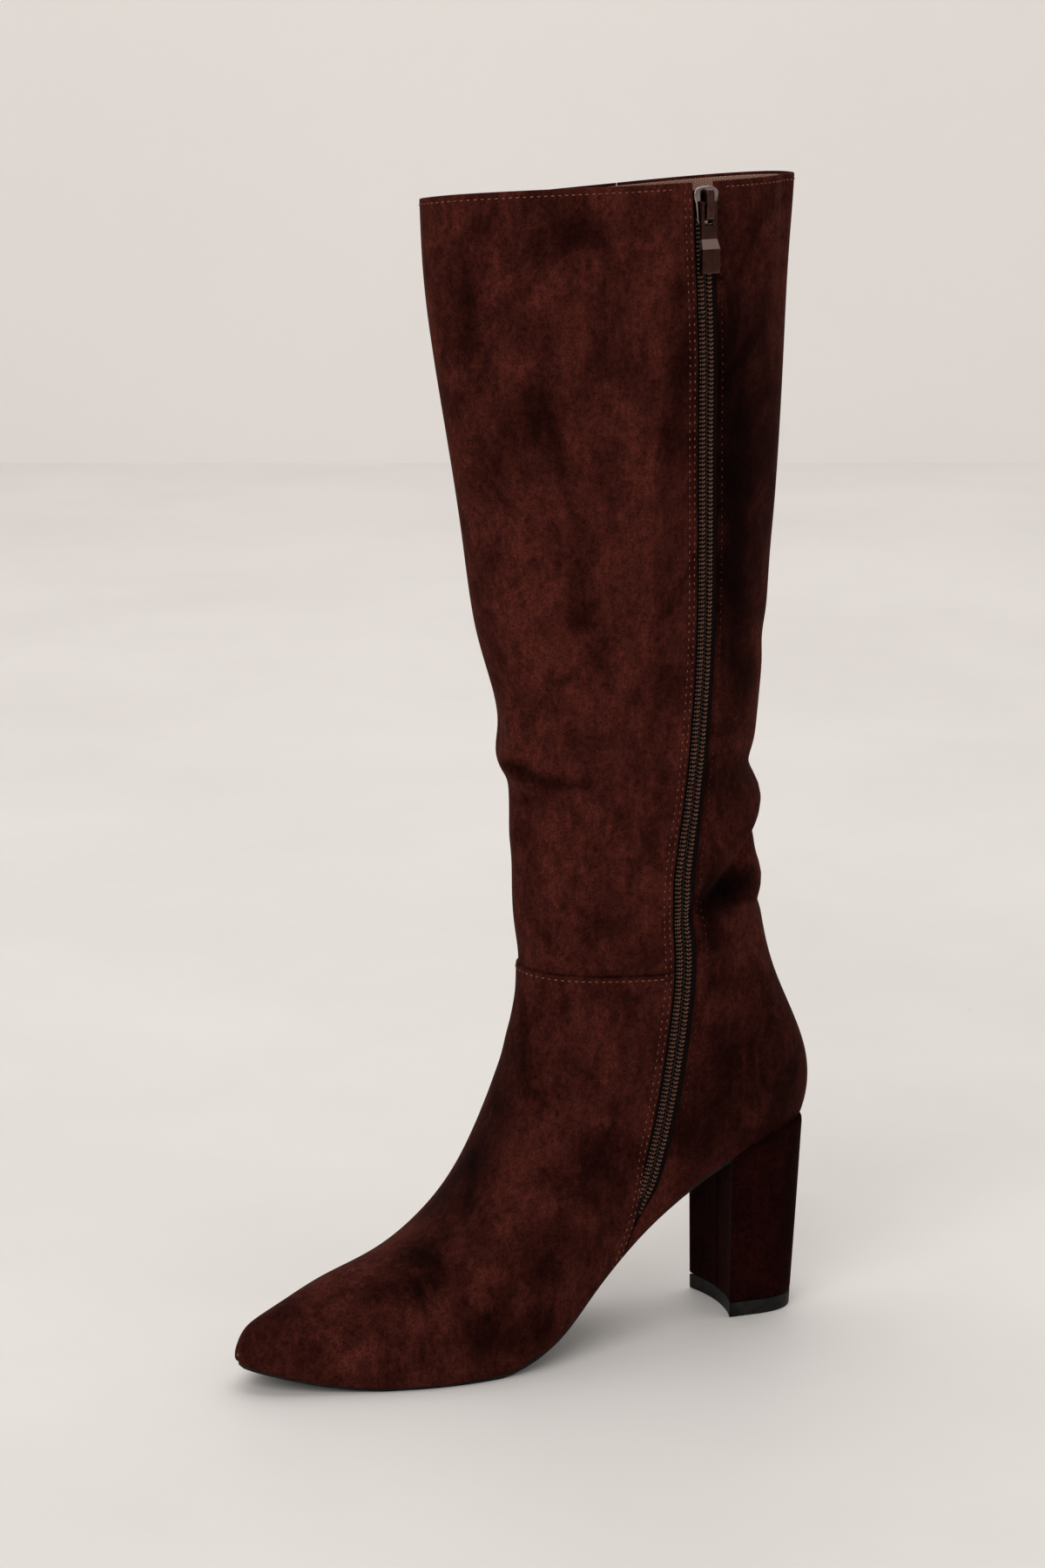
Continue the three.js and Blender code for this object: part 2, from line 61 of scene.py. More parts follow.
# Sections from toe to collar, in shares of the sizes above.
SECTIONS = [
    # frontS, frontUp, backS, backUp, inner, outer, widest, boxy
    (1.000, 0.107, 1.000, 0.107, 0.000, 0.000, 0.50, 2.2),
    (0.991, 0.146, 0.994, 0.047, 0.062, 0.067, 0.58, 2.2),
    (0.976, 0.181, 0.980, -0.010, 0.115, 0.125, 0.62, 2.3),
    (0.945, 0.208, 0.951, -0.045, 0.175, 0.190, 0.64, 2.4),
    (0.892, 0.241, 0.898, -0.075, 0.250, 0.280, 0.66, 2.4),
    (0.813, 0.285, 0.825, -0.095, 0.352, 0.380, 0.68, 2.4),
    (0.700, 0.343, 0.732, -0.110, 0.465, 0.475, 0.70, 2.4),
    (0.602, 0.484, 0.622, -0.105, 0.512, 0.500, 0.70, 2.4),
    (0.552, 0.662, 0.500, -0.045, 0.497, 0.465, 0.69, 2.4),
    (0.520, 0.836, 0.395, 0.085, 0.412, 0.420, 0.66, 2.4),
    (0.502, 0.995, 0.265, 0.205, 0.357, 0.380, 0.62, 2.3),
    (0.496, 1.057, 0.155, 0.360, 0.350, 0.370, 0.58, 2.2),
    (0.505, 1.117, 0.030, 0.500, 0.350, 0.370, 0.54, 2.1),
    (0.507, 1.177, -0.006, 0.745, 0.350, 0.370, 0.50, 2.1),
    (0.508, 1.237, 0.056, 1.012, 0.357, 0.370, 0.50, 2.1),
    (0.522, 1.303, 0.090, 1.135, 0.363, 0.375, 0.50, 2.1),
    (0.535, 1.382, 0.100, 1.262, 0.370, 0.380, 0.50, 2.1),
    (0.568, 1.470, 0.088, 1.388, 0.380, 0.393, 0.50, 2.1),
    (0.592, 1.587, 0.073, 1.540, 0.400, 0.405, 0.50, 2.1),
    (0.621, 1.720, 0.060, 1.707, 0.417, 0.423, 0.50, 2.1),
    (0.650, 1.855, 0.052, 1.865, 0.429, 0.435, 0.50, 2.1),
    (0.660, 1.972, 0.045, 2.000, 0.435, 0.440, 0.50, 2.1),
]
COLLAR = len(SECTIONS) - 1

# Underside of the sole: along (share of LENGTH), rise (share of HEEL_HEIGHT).
SOLE_LINE = [
    (-0.06, 1.060), (0.00, 1.000), (0.10, 0.910), (0.18, 0.828), (0.265, 0.705), (0.345, 0.548),
    (0.427, 0.335), (0.508, 0.140), (0.59, 0.016), (0.67, -0.006), (0.77, -0.004), (0.833, 0.010),
    (0.894, 0.040), (0.955, 0.088), (1.02, 0.136),
]

# Middle of the zip from the side: up (share of BOOT_HEIGHT), along (share of LENGTH).
# The first row carries the seam on below the zip to the sole.
ZIP_LINE = [
    (0.060, 0.392), (0.112, 0.3535), (0.143, 0.3295), (0.183, 0.308), (0.224, 0.292), (0.264, 0.2795),
    (0.304, 0.2705), (0.346, 0.2685), (0.390, 0.274), (0.430, 0.2695), (0.475, 0.2565), (0.530, 0.2465),
    (0.600, 0.2395), (0.690, 0.2415), (0.80, 0.2465), (0.87, 0.249), (1.00, 0.263),
]

# Slouch folds, soft ridges and troughs: round (degrees from the front by the inner side), up (mm),
# climb (mm per 90 degrees), reach (degrees), breadth (mm), swell (mm, outwards).
FOLDS = [
    # front of the ankle: a soft pouch over a crease
    (6, 230, -10, 40, 9, 3.0),
    (22, 241, 0, 24, 8, 1.0),
    (-7, 241, 0, 9, 11, -1.2),
    (11, 243, 0, 5, 10, 0.9),
    (27, 227, -23, 19, 2.8, -2.0),
    (56, 228, -28, 11, 3.6, -1.2),
    (24, 216, -16, 46, 7, -2.4),
    (10, 200, -8, 45, 9, 1.4),
    # back of the ankle: two rolls with a deep slanting crease between them
    (165, 224, 8, 40, 7, -2.3),
    (165, 211.5, 24, 46, 9, 3.0),
    (130, 185, 40, 34, 5.2, -4.4),
    (126, 193, 40, 27, 5, 1.9),
    (122, 175, 36, 20, 8, -1.6),
    (157, 178, 26, 34, 6, 1.8),
    (160, 169, 22, 28, 4, -1.1),
    (165, 274, 0, 30, 8, -0.9),
    (140, 250, 6, 16, 26, 0.8),
    # outer side
    (300, 214, 12, 40, 8, -1.2),
    (300, 230, 8, 40, 10, 0.8),
    (225, 196, -22, 26, 5, -1.6),
    (330, 150, 14, 35, 9, -0.6),
    # the vamp's bend
    (8, 118, -6, 26, 5, 0.7),
    (10, 106, -10, 26, 5, -0.7),
    # shallow waves of the shaft, and a fold down from the back of the collar
    (60, 330, 20, 30, 26, 0.5),
    (20, 390, -8, 26, 20, -0.5),
    (250, 320, -16, 34, 24, 0.6),
    (150, 300, 30, 22, 16, -0.5),
    (149, 448, 0, 5, 34, -1.3),
    (165, 450, 0, 9, 26, 0.9),
]

# How the collar's height varies round the boot: steady, then by the cosine and sine of the turn
# and of twice the turn. It fades out over LEAN_SECTIONS sections below the collar.
COLLAR_LEAN = (1.1, 1.9, 3.0, 0.5, 0.8)
LEAN_SECTIONS = 3


# ---- splines and the outer form ----------------------------------------------------------------
def bends(rows):
    """Second derivatives of the natural cubic spline through evenly counted rows."""
    count = len(rows)
    system = np.eye(count)
    jumps = np.zeros_like(rows)
    for i in range(1, count - 1):
        system[i, i - 1:i + 2] = (1, 4, 1)
        jumps[i] = 6 * (rows[i - 1] - 2 * rows[i] + rows[i + 1])
    return np.linalg.solve(system, jumps)


def spline(rows):
    """The natural cubic spline through rows, as a function of t, which counts the rows."""
    rows = np.array(rows, float)
    second = bends(rows)

    def value(t):
        t = np.asarray(t, float)
        i = np.clip(np.floor(t).astype(int), 0, len(rows) - 2)
        b = (t - i)[..., None]
        a = 1 - b
        return (a * rows[i] + b * rows[i + 1]
                + ((a ** 3 - a) * second[i] + (b ** 3 - b) * second[i + 1]) / 6)
    return value


def smooth(u):
    """A soft step from 0 to 1."""
    v = np.clip(u, 0, 1)
    return v * v * (3 - 2 * v)


def height(up):
    return up * INSTEP_HEIGHT if up <= 1 else INSTEP_HEIGHT + (up - 1) * (BOOT_HEIGHT - INSTEP_HEIGHT)


def section_rows():
    """The sections in millimetres, with one more ahead of the toe that mirrors the second."""
    rows = [(fs * LENGTH, height(fu), bs * LENGTH, height(bu), i * BALL_WIDTH, o * BALL_WIDTH, w, b)
            for fs, fu, bs, bu, i, o, w, b in SECTIONS]
    fs, fz, bs, bz, i, o, w, b = rows[1]
    return [(bs, bz, fs, fz, -o, -i, 1 - w, b)] + rows


def sampled(rows, count):
    """Evenly counted points on the spline through rows."""
    return spline(rows)(np.linspace(0, len(rows) - 1, count))


SOLE_SAMPLES = 57
ZIP_SAMPLES = 160
section_at = spline(section_rows())
sole_samples = sampled([(a * LENGTH, r * HEEL_HEIGHT) for a, r in SOLE_LINE], SOLE_SAMPLES)
zip_samples = sampled([(a * LENGTH, u * BOOT_HEIGHT) for u, a in ZIP_LINE], ZIP_SAMPLES)
ZIP_END_Z = ZIP_LINE[1][0] * BOOT_HEIGHT


def sole_under(s):
    return np.maximum(0, np.interp(s, sole_samples[:, 0], sole_samples[:, 1]))


def feather_z(s):
    return sole_under(s) + FEATHER_RISE


def zip_s(z):
    return np.interp(z, zip_samples[:, 1], zip_samples[:, 0])


def swing(s):
    """The Y of the boot's middle line at s; below zero is the inner side."""
    toe = smooth((s / LENGTH - 1 + TOE_PART) / TOE_PART)
    return -TOE_SWING * toe - HEEL_SWING * smooth(1 - s / LENGTH / HEEL_PART)


def collar_lean(t, turn):
    steady, cos, sin, cos_twice, sin_twice = COLLAR_LEAN
    lean = (steady + cos * np.cos(turn) + sin * np.sin(turn)
            + cos_twice * np.cos(2 * turn) + sin_twice * np.sin(2 * turn))
    return lean * smooth((t - COLLAR + LEAN_SECTIONS) / LEAN_SECTIONS)


def form(t, turn):
    """Points of the boot's outer form; turn 0 is the front, and grows by the inner side."""
    t, turn = np.broadcast_arrays(np.asarray(t, float), np.asarray(turn, float))
    row = section_at(t + 1)
    front_s, front_z, back_s, back_z, inner, outer, widest, boxy = np.moveaxis(row, -1, 0)
    c, n = np.cos(turn), np.sin(turn)
    power = np.where(c > 0, 1.0, 2 / boxy)
    reach = np.abs(c) ** power
    share = np.where(c > 0, widest * (1 - reach), widest + (1 - widest) * reach)
    side = np.where(n >= 0, inner, outer) * np.sign(n) * np.abs(n) ** power
    s = front_s + (back_s - front_s) * share
    z = front_z + (back_z - front_z) * share + collar_lean(t, turn)
    return np.stack([-s, swing(s) - side, z], -1)


def form_normal(t, turn):
    step = 1e-3
    t = np.maximum(t, 2 * step)
    along = form(t + step, turn) - form(t - step, turn)
    around = form(t, turn + step) - form(t, turn - step)
    normal = np.cross(around, along)
    return normal / np.maximum(np.linalg.norm(normal, axis=-1, keepdims=True), 1e-12)


def fold_swell(turn, z):
    """How far the folds lift the form at a turn and a height."""
    total = np.zeros(np.broadcast(turn, z).shape)
    for around, up, climb, reach, breadth, swell in FOLDS:
        away = (np.degrees(turn) - around + 180) % 360 - 180
        off = (z - up - climb * away / 90) / breadth
        total = total + swell * np.exp(-off * off - (away / reach) ** 2)
    return total


# The frame's place of s = 0, and of the plane that the sections are drawn about.
SHIFT = np.array([122.265, 0.584, 0.0])


def skin(t, turn, lift=0.0):
    """Points on the form with its folds, lifted off it by lift millimetres, in the frame's metres."""
    point = form(t, turn)
    normal = form_normal(t, turn)
    rise = fold_swell(turn, point[..., 2]) + lift
    return (point + normal * rise[..., None] + SHIFT) * MM


# ---- lines on the form -------------------------------------------------------------------------
def bisect(test, low, high, steps=40):
    """Where test turns from positive (at low) to negative (at high); high where it never does."""
    low, high = np.array(low, float), np.array(high, float)
    never = test(high) > 0
    top = high.copy()
    for _ in range(steps):
        mid = (low + high) / 2
        positive = test(mid) > 0
        low = np.where(positive, mid, low)
        high = np.where(positive, high, mid)
    return np.where(never, top, (low + high) / 2)


def side_line_turn(t, ahead, side):
    """Turn, on the inner (1) or outer (-1) side, of the zip's side line moved forward by ahead."""
    t = np.asarray(t, float)

    def test(turn):
        point = form(t, side * turn)
        slope = np.gradient(zip_samples[:, 0], zip_samples[:, 1])
        lean = np.interp(point[..., 2], zip_samples[:, 1], slope)
        return -point[..., 0] - zip_s(point[..., 2]) - ahead * np.sqrt(1 + lean ** 2)
    return bisect(test, np.full(t.shape, 0.15), np.full(t.shape, math.pi - 0.02))


def feather_turn(t, side):
    t = np.asarray(t, float)

    def test(turn):
        point = form(t, side * turn)
        return point[..., 2] - feather_z(-point[..., 0])
    return bisect(test, np.full(t.shape, 0.02), np.full(t.shape, math.pi))


SLOT_HALF = 4.9
SLOT_TIP = 0.15            # half width at its foot
SLOT_TAPER = 26.0          # height over which it opens, from SLOT_FOOT below the zip's end
SLOT_FOOT = 4.0
SLOT_EASE = 0.7


def slot_half(t, side):
    """Half the zip slot's width: it closes to a point at the foot of the zip."""
    middle = side_line_turn(t, 0.0, side)
    z = form(t, side * middle)[..., 2]
    opened = smooth((z - ZIP_END_Z + SLOT_FOOT) / SLOT_TAPER) ** SLOT_EASE
    return SLOT_TIP + (SLOT_HALF - SLOT_TIP) * opened


LINE_T = np.linspace(0, COLLAR, 900)
LINE_HALF = slot_half(LINE_T, 1)
ZIP_FRONT = side_line_turn(LINE_T, LINE_HALF, 1)
ZIP_BACK = side_line_turn(LINE_T, -LINE_HALF, 1)
SEAM_HALF = 0.12
SEAM_FRONT = side_line_turn(LINE_T, SEAM_HALF, -1)
SEAM_BACK = side_line_turn(LINE_T, -SEAM_HALF, -1)
FEATHER_IN = feather_turn(LINE_T, 1)
FEATHER_OUT = feather_turn(LINE_T, -1)


def on_t(values):
    return lambda t: np.interp(t, LINE_T, values)


zip_front, zip_back = on_t(ZIP_FRONT), on_t(ZIP_BACK)
seam_front, seam_back = on_t(SEAM_FRONT), on_t(SEAM_BACK)
feather_in, feather_out = on_t(FEATHER_IN), on_t(FEATHER_OUT)


# ---- meshes ------------------------------------------------------------------------------------
def link(obj):
    bpy.context.scene.collection.objects.link(obj)
    return obj


def drop(obj):
    bpy.data.objects.remove(obj)


def mesh_object(name, points, faces, material=None, uv=None, merge=2e-6):
    """A closed smooth mesh with its faces pointing out; uv holds one pair of millimetres per point."""
    mesh = bpy.data.meshes.new(name)
    mesh.from_pydata([tuple(p) for p in np.asarray(points, float)], [], faces)
    if uv is not None:
        layer = mesh.uv_layers.new(name="UVMap")
        corner = np.zeros(len(mesh.loops), np.int32)
        mesh.loops.foreach_get("vertex_index", corner)
        layer.data.foreach_set("uv", (np.asarray(uv, float)[corner] * MM).astype(np.float32).ravel())
    tidy = bmesh.new()
    tidy.from_mesh(mesh)
    if merge:
        bmesh.ops.remove_doubles(tidy, verts=tidy.verts, dist=merge)
        bmesh.ops.dissolve_degenerate(tidy, edges=tidy.edges, dist=merge)
    if tidy.calc_volume(signed=True) < 0:
        bmesh.ops.reverse_faces(tidy, faces=tidy.faces)
    tidy.to_mesh(mesh)
    tidy.free()
    mesh.polygons.foreach_set("use_smooth", [True] * len(mesh.polygons))
    if material:
        mesh.materials.append(material)
    return link(bpy.data.objects.new(name, mesh))


def grid_faces(rows, columns, start=0, flip=False, closed=False):
    faces = []
    width = columns if closed else columns - 1
    for i in range(rows - 1):
        for j in range(width):
            k = (j + 1) % columns
            quad = (start + i * columns + j, start + i * columns + k,
                    start + (i + 1) * columns + k, start + (i + 1) * columns + j)
            faces.append(quad[::-1] if flip else quad)
    return faces


def slab(name, outer, inner, material=None, uv=None, closed=False):
    """Two grids of points joined round their edges into one closed sheet."""
    rows, columns = outer.shape[:2]
    half = rows * columns
    faces = grid_faces(rows, columns, closed=closed) + grid_faces(rows, columns, half, True, closed)
    width = columns if closed else columns - 1
    for i in (0, rows - 1):
        for j in range(width):
            k = (j + 1) % columns
            a, b = i * columns + j, i * columns + k
            quad = (b, a, a + half, b + half)
            faces.append(quad if i == 0 else quad[::-1])
    if not closed:
        for j in (0, columns - 1):
            for i in range(rows - 1):
                a, b = i * columns + j, (i + 1) * columns + j
                quad = (a, b, b + half, a + half)
                faces.append(quad if j == 0 else quad[::-1])
    points = np.concatenate([outer.reshape(-1, 3), inner.reshape(-1, 3)])
    both = None if uv is None else np.concatenate([uv.reshape(-1, 2), uv.reshape(-1, 2)])
    return mesh_object(name, points, faces, material, both)


def run(points, axis):
    """Distance in millimetres along a grid's lines from their start."""
    step = np.linalg.norm(np.diff(points, axis=axis), axis=-1) / MM
    shape = list(points.shape[:2])
    shape[axis] = 1
    return np.concatenate([np.zeros(shape), np.cumsum(step, axis=axis)], axis)


EDGE_STEPS = [0, 0.12, 0.3, 0.55, 0.9, 1.4, 2.1, 3.0]
SEWN_STEPS = [0, 0.12, 0.3, 0.55, 0.9, 1.25, 1.6, 1.95, 2.35, 2.85, 3.35, 3.8, 4.25, 4.9]


def shares(length, pitch, low=EDGE_STEPS, high=EDGE_STEPS):
    """Shares 0 to 1 of a length in millimetres, close together near the edges that are shaped."""
    start = low or [0]
    end = high or [0]
    body = np.linspace(start[-1] + pitch, length - end[-1] - pitch,
                       max(int((length - start[-1] - end[-1]) / pitch) - 1, 2))
    return np.concatenate([start, body, length - np.array(end[::-1])]) / length


def rounded(distance, radius, drop):
    """How far a face falls at a distance from its turned edge."""
    q = np.clip(1 - distance / radius, 0, 1)
    return -drop * (1 - np.sqrt(np.clip(1 - q * q, 0, 1)))


# Where the suede is painted darker (below zero) or lighter: nap patches, with painted shade in the creases,
# behind the zip and where the form turns from the light, and painted highlights on the rolls: x, y, z,
# then how far it reaches along each, in mm, then how strongly, on a natural log scale.
NAP_AND_SHADE_PATCHES = [
    # under the collar
    (-24, -21, 436, 10, 10, 8, -0.3),
    (4, -33, 432, 22, 10, 9, -0.65),
    (44, -36, 428, 6, 8, 14, 0.4),
    (84, -25, 432, 20, 16, 9, -0.3),
    # front and middle of the shaft
    (-29, -14, 404, 5, 10, 20, -0.6),
    (-16, -23, 382, 5, 6, 7, 0.45),
    (-10, -25, 396, 9, 8, 9, -1.1),
    (-5, -28, 366, 9, 8, 12, -0.85),
    (-25, -14, 343, 4, 6, 14, -0.7),
    (15, -32, 345, 8, 8, 8, -0.4),
    (-12, -22, 322, 12, 8, 14, 0.3),
    (2, -26, 298, 8, 8, 10, 0.3),
    (10, -28, 290, 5, 8, 13, -0.55),
    (20, -31, 275, 8, 8, 8, -0.5),
    (-12, -18, 281, 12, 8, 16, 0.25),
    (33, -33, 320, 7, 8, 70, 0.3),
    (44, -35, 345, 3.5, 8, 80, -0.7),
    (-4, -22, 276, 12, 9, 20, 0.35),
    (8, -18, 184, 14, 9, 12, 0.45),
    (12, -24, 240, 12, 8, 7, -0.6),
    # painted shade in the crease at the front of the ankle, falling backwards, and a painted highlight above
    # it
    (-7, -7, 230.5, 4, 6, 2.0, -1.6),
    (-3, -10, 227.5, 5, 6, 2.4, -1.9),
    (3, -16, 225.5, 6, 6, 2.6, -1.6),
    (10, -22, 225, 6, 6, 2.6, -1.0),
    (-1, -9, 219, 7, 8, 5, -0.9),
    (-8, 0, 236, 5, 7, 3, 0.4),
    # painted shade in the deep crease at its back, and a painted highlight on the roll above it
    (66, -26, 175, 6, 7, 5, -2.0),
    (75, -24, 176, 8, 8, 5.5, -2.6),
    (86, -20, 178, 8, 8, 5.5, -1.8),
    (84, -18, 187.5, 9, 8, 3.5, 0.5),
    (92, -15, 199, 6, 9, 8, 0.3),
    (30, -30, 222, 16, 10, 16, 0.2),
    # painted shade behind the zip, where the boot turns from the light, deepest half way up
    (48, -35, 385, 5, 9, 34, -0.9),
    (70, -31, 378, 13, 14, 32, -1.7),
    (72, -30, 348, 8, 10, 46, -0.8),
    (68, -27, 222, 8, 9, 16, -1.0),
    (73, -29, 309, 15, 14, 50, -2.2),
    (86, -26, 392, 9, 9, 18, -0.9),
    (96, -20, 345, 10, 12, 50, -0.9),
    (64, -29, 248, 8, 8, 10, 0.3),
    (82, -24, 262, 10, 12, 10, -0.6),
    (84, -24, 222, 14, 12, 7, -0.9),
    (60, -28, 196, 10, 9, 12, -0.4),
    # above and below the seam across the ankle
    (25, -24, 170, 10, 9, 8, -0.35),
    (40, -28, 166, 10, 10, 14, -0.25),
    (68, -25, 166, 8, 9, 22, -1.5),
    (-4, 2, 122, 10, 14, 18, -0.9),
    (-14, -2, 94, 10, 14, 12, -0.9),
    (4, -14, 138, 10, 10, 9, -0.45),
    (0, -18, 108, 9, 9, 16, -0.4),
    (18, -26, 128, 16, 10, 12, 0.2),
    # a thin painted shadow along the vamp's folded edge
    (-3, -6, 150.1, 9, 9, 0.8, -1.5),
    (10, -16, 149.7, 9, 8, 0.8, -1.5),
    (25, -23, 148.9, 9, 8, 0.8, -1.5),
    (42, -27, 148.3, 9, 8, 0.8, -1.5),
    (10, -26, 112, 50, 30, 42, -0.14),
    # painted shade on the heel's counter and the arch, with one lighter patch
    (92, -20, 110, 28, 24, 40, -0.25),
    (77, -28, 116, 15, 12, 20, -0.7),
    (98, -18, 104, 20, 16, 34, -0.9),
    (64, -29, 84, 14, 12, 14, -0.8),
    (64, -29, 112, 6, 8, 18, 0.35),
    (19, -29, 78, 16, 12, 14, -0.7),
    # foot and toe: painted shade and lighter patches among the nap
    (-91, -20, 26, 14, 12, 10, -0.35),
    (-26, -6, 64, 9, 9, 13, -0.75),
    (4, -37, 47, 16, 10, 14, -0.3),
    (-35, -41, 17, 16, 12, 9, -0.35),
    (-30, 8, 57, 13, 12, 12, -1.9),
    (-20, 1, 74, 11, 12, 14, -1.6),
    (-50, -10, 44, 12, 10, 9, -1.8),
    (-50, -24, 37, 13, 8, 7, -1.3),
    (-68, -17, 35, 10, 8, 6, -1.4),
    (-34, -16, 52, 10, 9, 8, -0.5),
    (-4, -38, 46, 18, 10, 14, -0.6),
    (-38, -34, 38, 12, 8, 6, 0.2),
    (-104, -6, 30, 12, 12, 7, -0.55),
    (-92, -18, 27, 12, 8, 5, 0.3),
    (-112, -4, 22, 8, 9, 8, -0.2),
    (-26, -42, 19, 24, 12, 10, -0.8),
    (-44, -37, 27, 12, 8, 6, -0.7),
    (-81, -30, 14, 8, 6, 5, 0.5),
    (-58, -36, 12, 12, 8, 6, -0.5),
]


def painted_shade_and_nap(points):
    """How light or dark the suede is painted at points in metres: its nap, with painted shade and
    highlights.
    """
    total = np.zeros(points.shape[:-1])
    for x, y, z, rx, ry, rz, amount in NAP_AND_SHADE_PATCHES:
        away = (points / MM - (x, y, z)) / (rx, ry, rz)
        total += amount * np.exp(-(away ** 2).sum(-1))
    return total


SEWN_SINK = 0.28           # how far a row of stitches draws the suede in
SEWN_HALF = 0.6
THINNEST = 0.05            # of a panel where its edge is turned


def panel(name, t, turn, material, turned, lift=0.0, sewn=(), thickness=SUEDE):
    """One suede panel: turned gives (radius, drop) at its low-t, high-t, first and last edges.

    Each item of sewn is a row of stitches: the edge's number and the distance from it.
    """
    flat = skin(t, turn)
    along, across = run(flat, 0), run(flat, 1)
    distances = [along, along[-1:] - along, across, across[:, -1:] - across]
    fall = np.zeros(t.shape)
    for distance, edge in zip(distances, turned):
        if edge:
            fall = np.minimum(fall, rounded(distance, *edge))
    for edge, away in sewn:
        fall = fall - SEWN_SINK * np.exp(-((distances[edge] - away) / SEWN_HALF) ** 2)
    outer = skin(t, turn, lift + fall)
    inner = skin(t, turn, np.minimum(lift + fall - THINNEST, lift - thickness))
    piece = slab(name, outer, inner, material, np.stack([across, along], -1))
    points = np.empty(len(piece.data.vertices) * 3)
    piece.data.vertices.foreach_get("co", points)
    # each point's tone from its nap and from the painted shade and highlights
    nap_and_shade = piece.data.attributes.new("nap_and_shade", "FLOAT", "POINT")
    nap_and_shade.data.foreach_set("value", painted_shade_and_nap(points.reshape(-1, 3)).astype(np.float32))
    return piece


def ride(obj, slot, *nodes, body="boot"):
    """The piece rides on a body and stands for the nodes, whose parts it hides; slot is not used."""
    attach(obj, body)
    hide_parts(*nodes)
    return obj


# ---- panels of the upper -----------------------------------------------------------------------
FRONT_ROWS = (1.6, 3.8)    # stitch rows' distances from the zip slot's front edge
BACK_ROW = 1.5             # and from its back edge
VAMP_TOP = 150.2           # height of the seam across the ankle
VAMP_DIP = 2.0             # how far it sinks towards its two ends
VAMP_LIFT = 0.9            # its folded edge lies over the shaft
VAMP_RAMP = 15.0
UNDERLAP = 6.0             # the shaft goes on this far below that edge
TOE_START = 0.02
SEAM_ROUND = (1.5, 1.15)   # radius and drop of an edge sewn into a seam
FOLD_ROUND = (0.9, 0.85)   # of a folded edge
SOLE_ROUND = (2.4, 1.3)    # of the edge that turns under to the sole
TOP_ROUND = (0.6, 0.45)    # of the collar


def vamp_top_z(turn):
    return VAMP_TOP - VAMP_DIP * smooth(np.abs(turn) / 1.5)


def front_turn(t, across):
    """Turn at a share across the front: 0 at the outer seam or sole, 1 at the zip or sole."""
    low = -np.minimum(seam_front(t), feather_out(t))
    high = np.minimum(zip_front(t), feather_in(t))
    return low + (high - low) * across


def t_at_height(across, wanted, low=4.0):
    """Where a column of the front reaches a height that may depend on its turn."""
    across = np.asarray(across, float)

    def test(t):
        turn = front_turn(t, across)
        return wanted(turn) - form(t, turn)[..., 2]
    return bisect(test, np.full(across.shape, low), np.full(across.shape, float(COLLAR)))


def spread(low, high, across, along):
    """Front grid whose rows run from t = low to t = high (one each per column), evenly in length."""
    fine = np.linspace(0, 1, 500)[:, None]
    t = low + (high - low) * fine
    length = run(skin(t, front_turn(t, across[None])), 0)
    length /= length[-1:]
    grid = np.empty((len(along), len(across)))
    for j in range(len(across)):
        grid[:, j] = np.interp(along, length[:, j], t[:, j])
    return grid, front_turn(grid, across[None])


def build_front(suede):
    across = shares(length=190, pitch=2.6, high=SEWN_STEPS)
    sewn = [(3, row) for row in FRONT_ROWS]
    seam_t = t_at_height(across, vamp_top_z)
    tuck_t = t_at_height(across, lambda turn: vamp_top_z(turn) - UNDERLAP)
    start = np.full(across.shape, TOE_START)
    end = np.full(across.shape, float(COLLAR))

    t, turn = spread(start, seam_t, across, shares(length=250, pitch=2.4, low=None))
    lift = VAMP_LIFT * smooth(1 - (vamp_top_z(turn) - form(t, turn)[..., 2]) / VAMP_RAMP)
    vamp = panel("vamp", t, turn, suede, [None, FOLD_ROUND, SOLE_ROUND, SOLE_ROUND], lift, sewn)
    ride(vamp, "suede", "upper")

    t, turn = spread(tuck_t, end, across, shares(length=310, pitch=2.2))
    edges = [FOLD_ROUND, TOP_ROUND, SEAM_ROUND, FOLD_ROUND]
    shaft = panel("shaft_front", t, turn, suede, edges, 0.0, sewn)
    ride(shaft, "suede", "upper")


def coons(bottom, top, left, right, u, v):
    """A grid over four border lines, each a (n, 2) array of (t, turn) sampled at u or v."""
    u, v = u[None, :, None], v[:, None, None]
    across = (1 - v) * bottom[None] + v * top[None]
    along = (1 - u) * left[:, None] + u * right[:, None]
    corners = ((1 - u) * (1 - v) * bottom[0] + u * (1 - v) * bottom[-1]
               + (1 - u) * v * top[0] + u * v * top[-1])
    grid = across + along - corners
    return grid[..., 0], grid[..., 1]


def resample(line, share):
    """Points of a (t, turn) line at shares of its length on the form."""
    points = skin(line[:, 0], line[:, 1])
    length = np.concatenate([[0], np.cumsum(np.linalg.norm(np.diff(points, axis=0), axis=1))])
    length /= length[-1]
    return np.stack([np.interp(share, length, line[:, 0]), np.interp(share, length, line[:, 1])], -1)


# Between which rows (t) the searches look: for the heel's rear, and for where a side line meets the sole.
HEEL_ROWS = (9.0, 14.0)
CROSSING_ROWS = (8.2, 12.0)
LOWEST_ZIP_ROW = 8.8
LOWEST_STITCH_ROW = 8.6


def heel_crown():
    """The t at which the feather edge closes behind the heel."""
    def test(t):
        rear = form(t, math.pi)
        return feather_z(-rear[..., 0]) - rear[..., 2]
    return float(bisect(test, np.array(HEEL_ROWS[0]), np.array(HEEL_ROWS[1])))


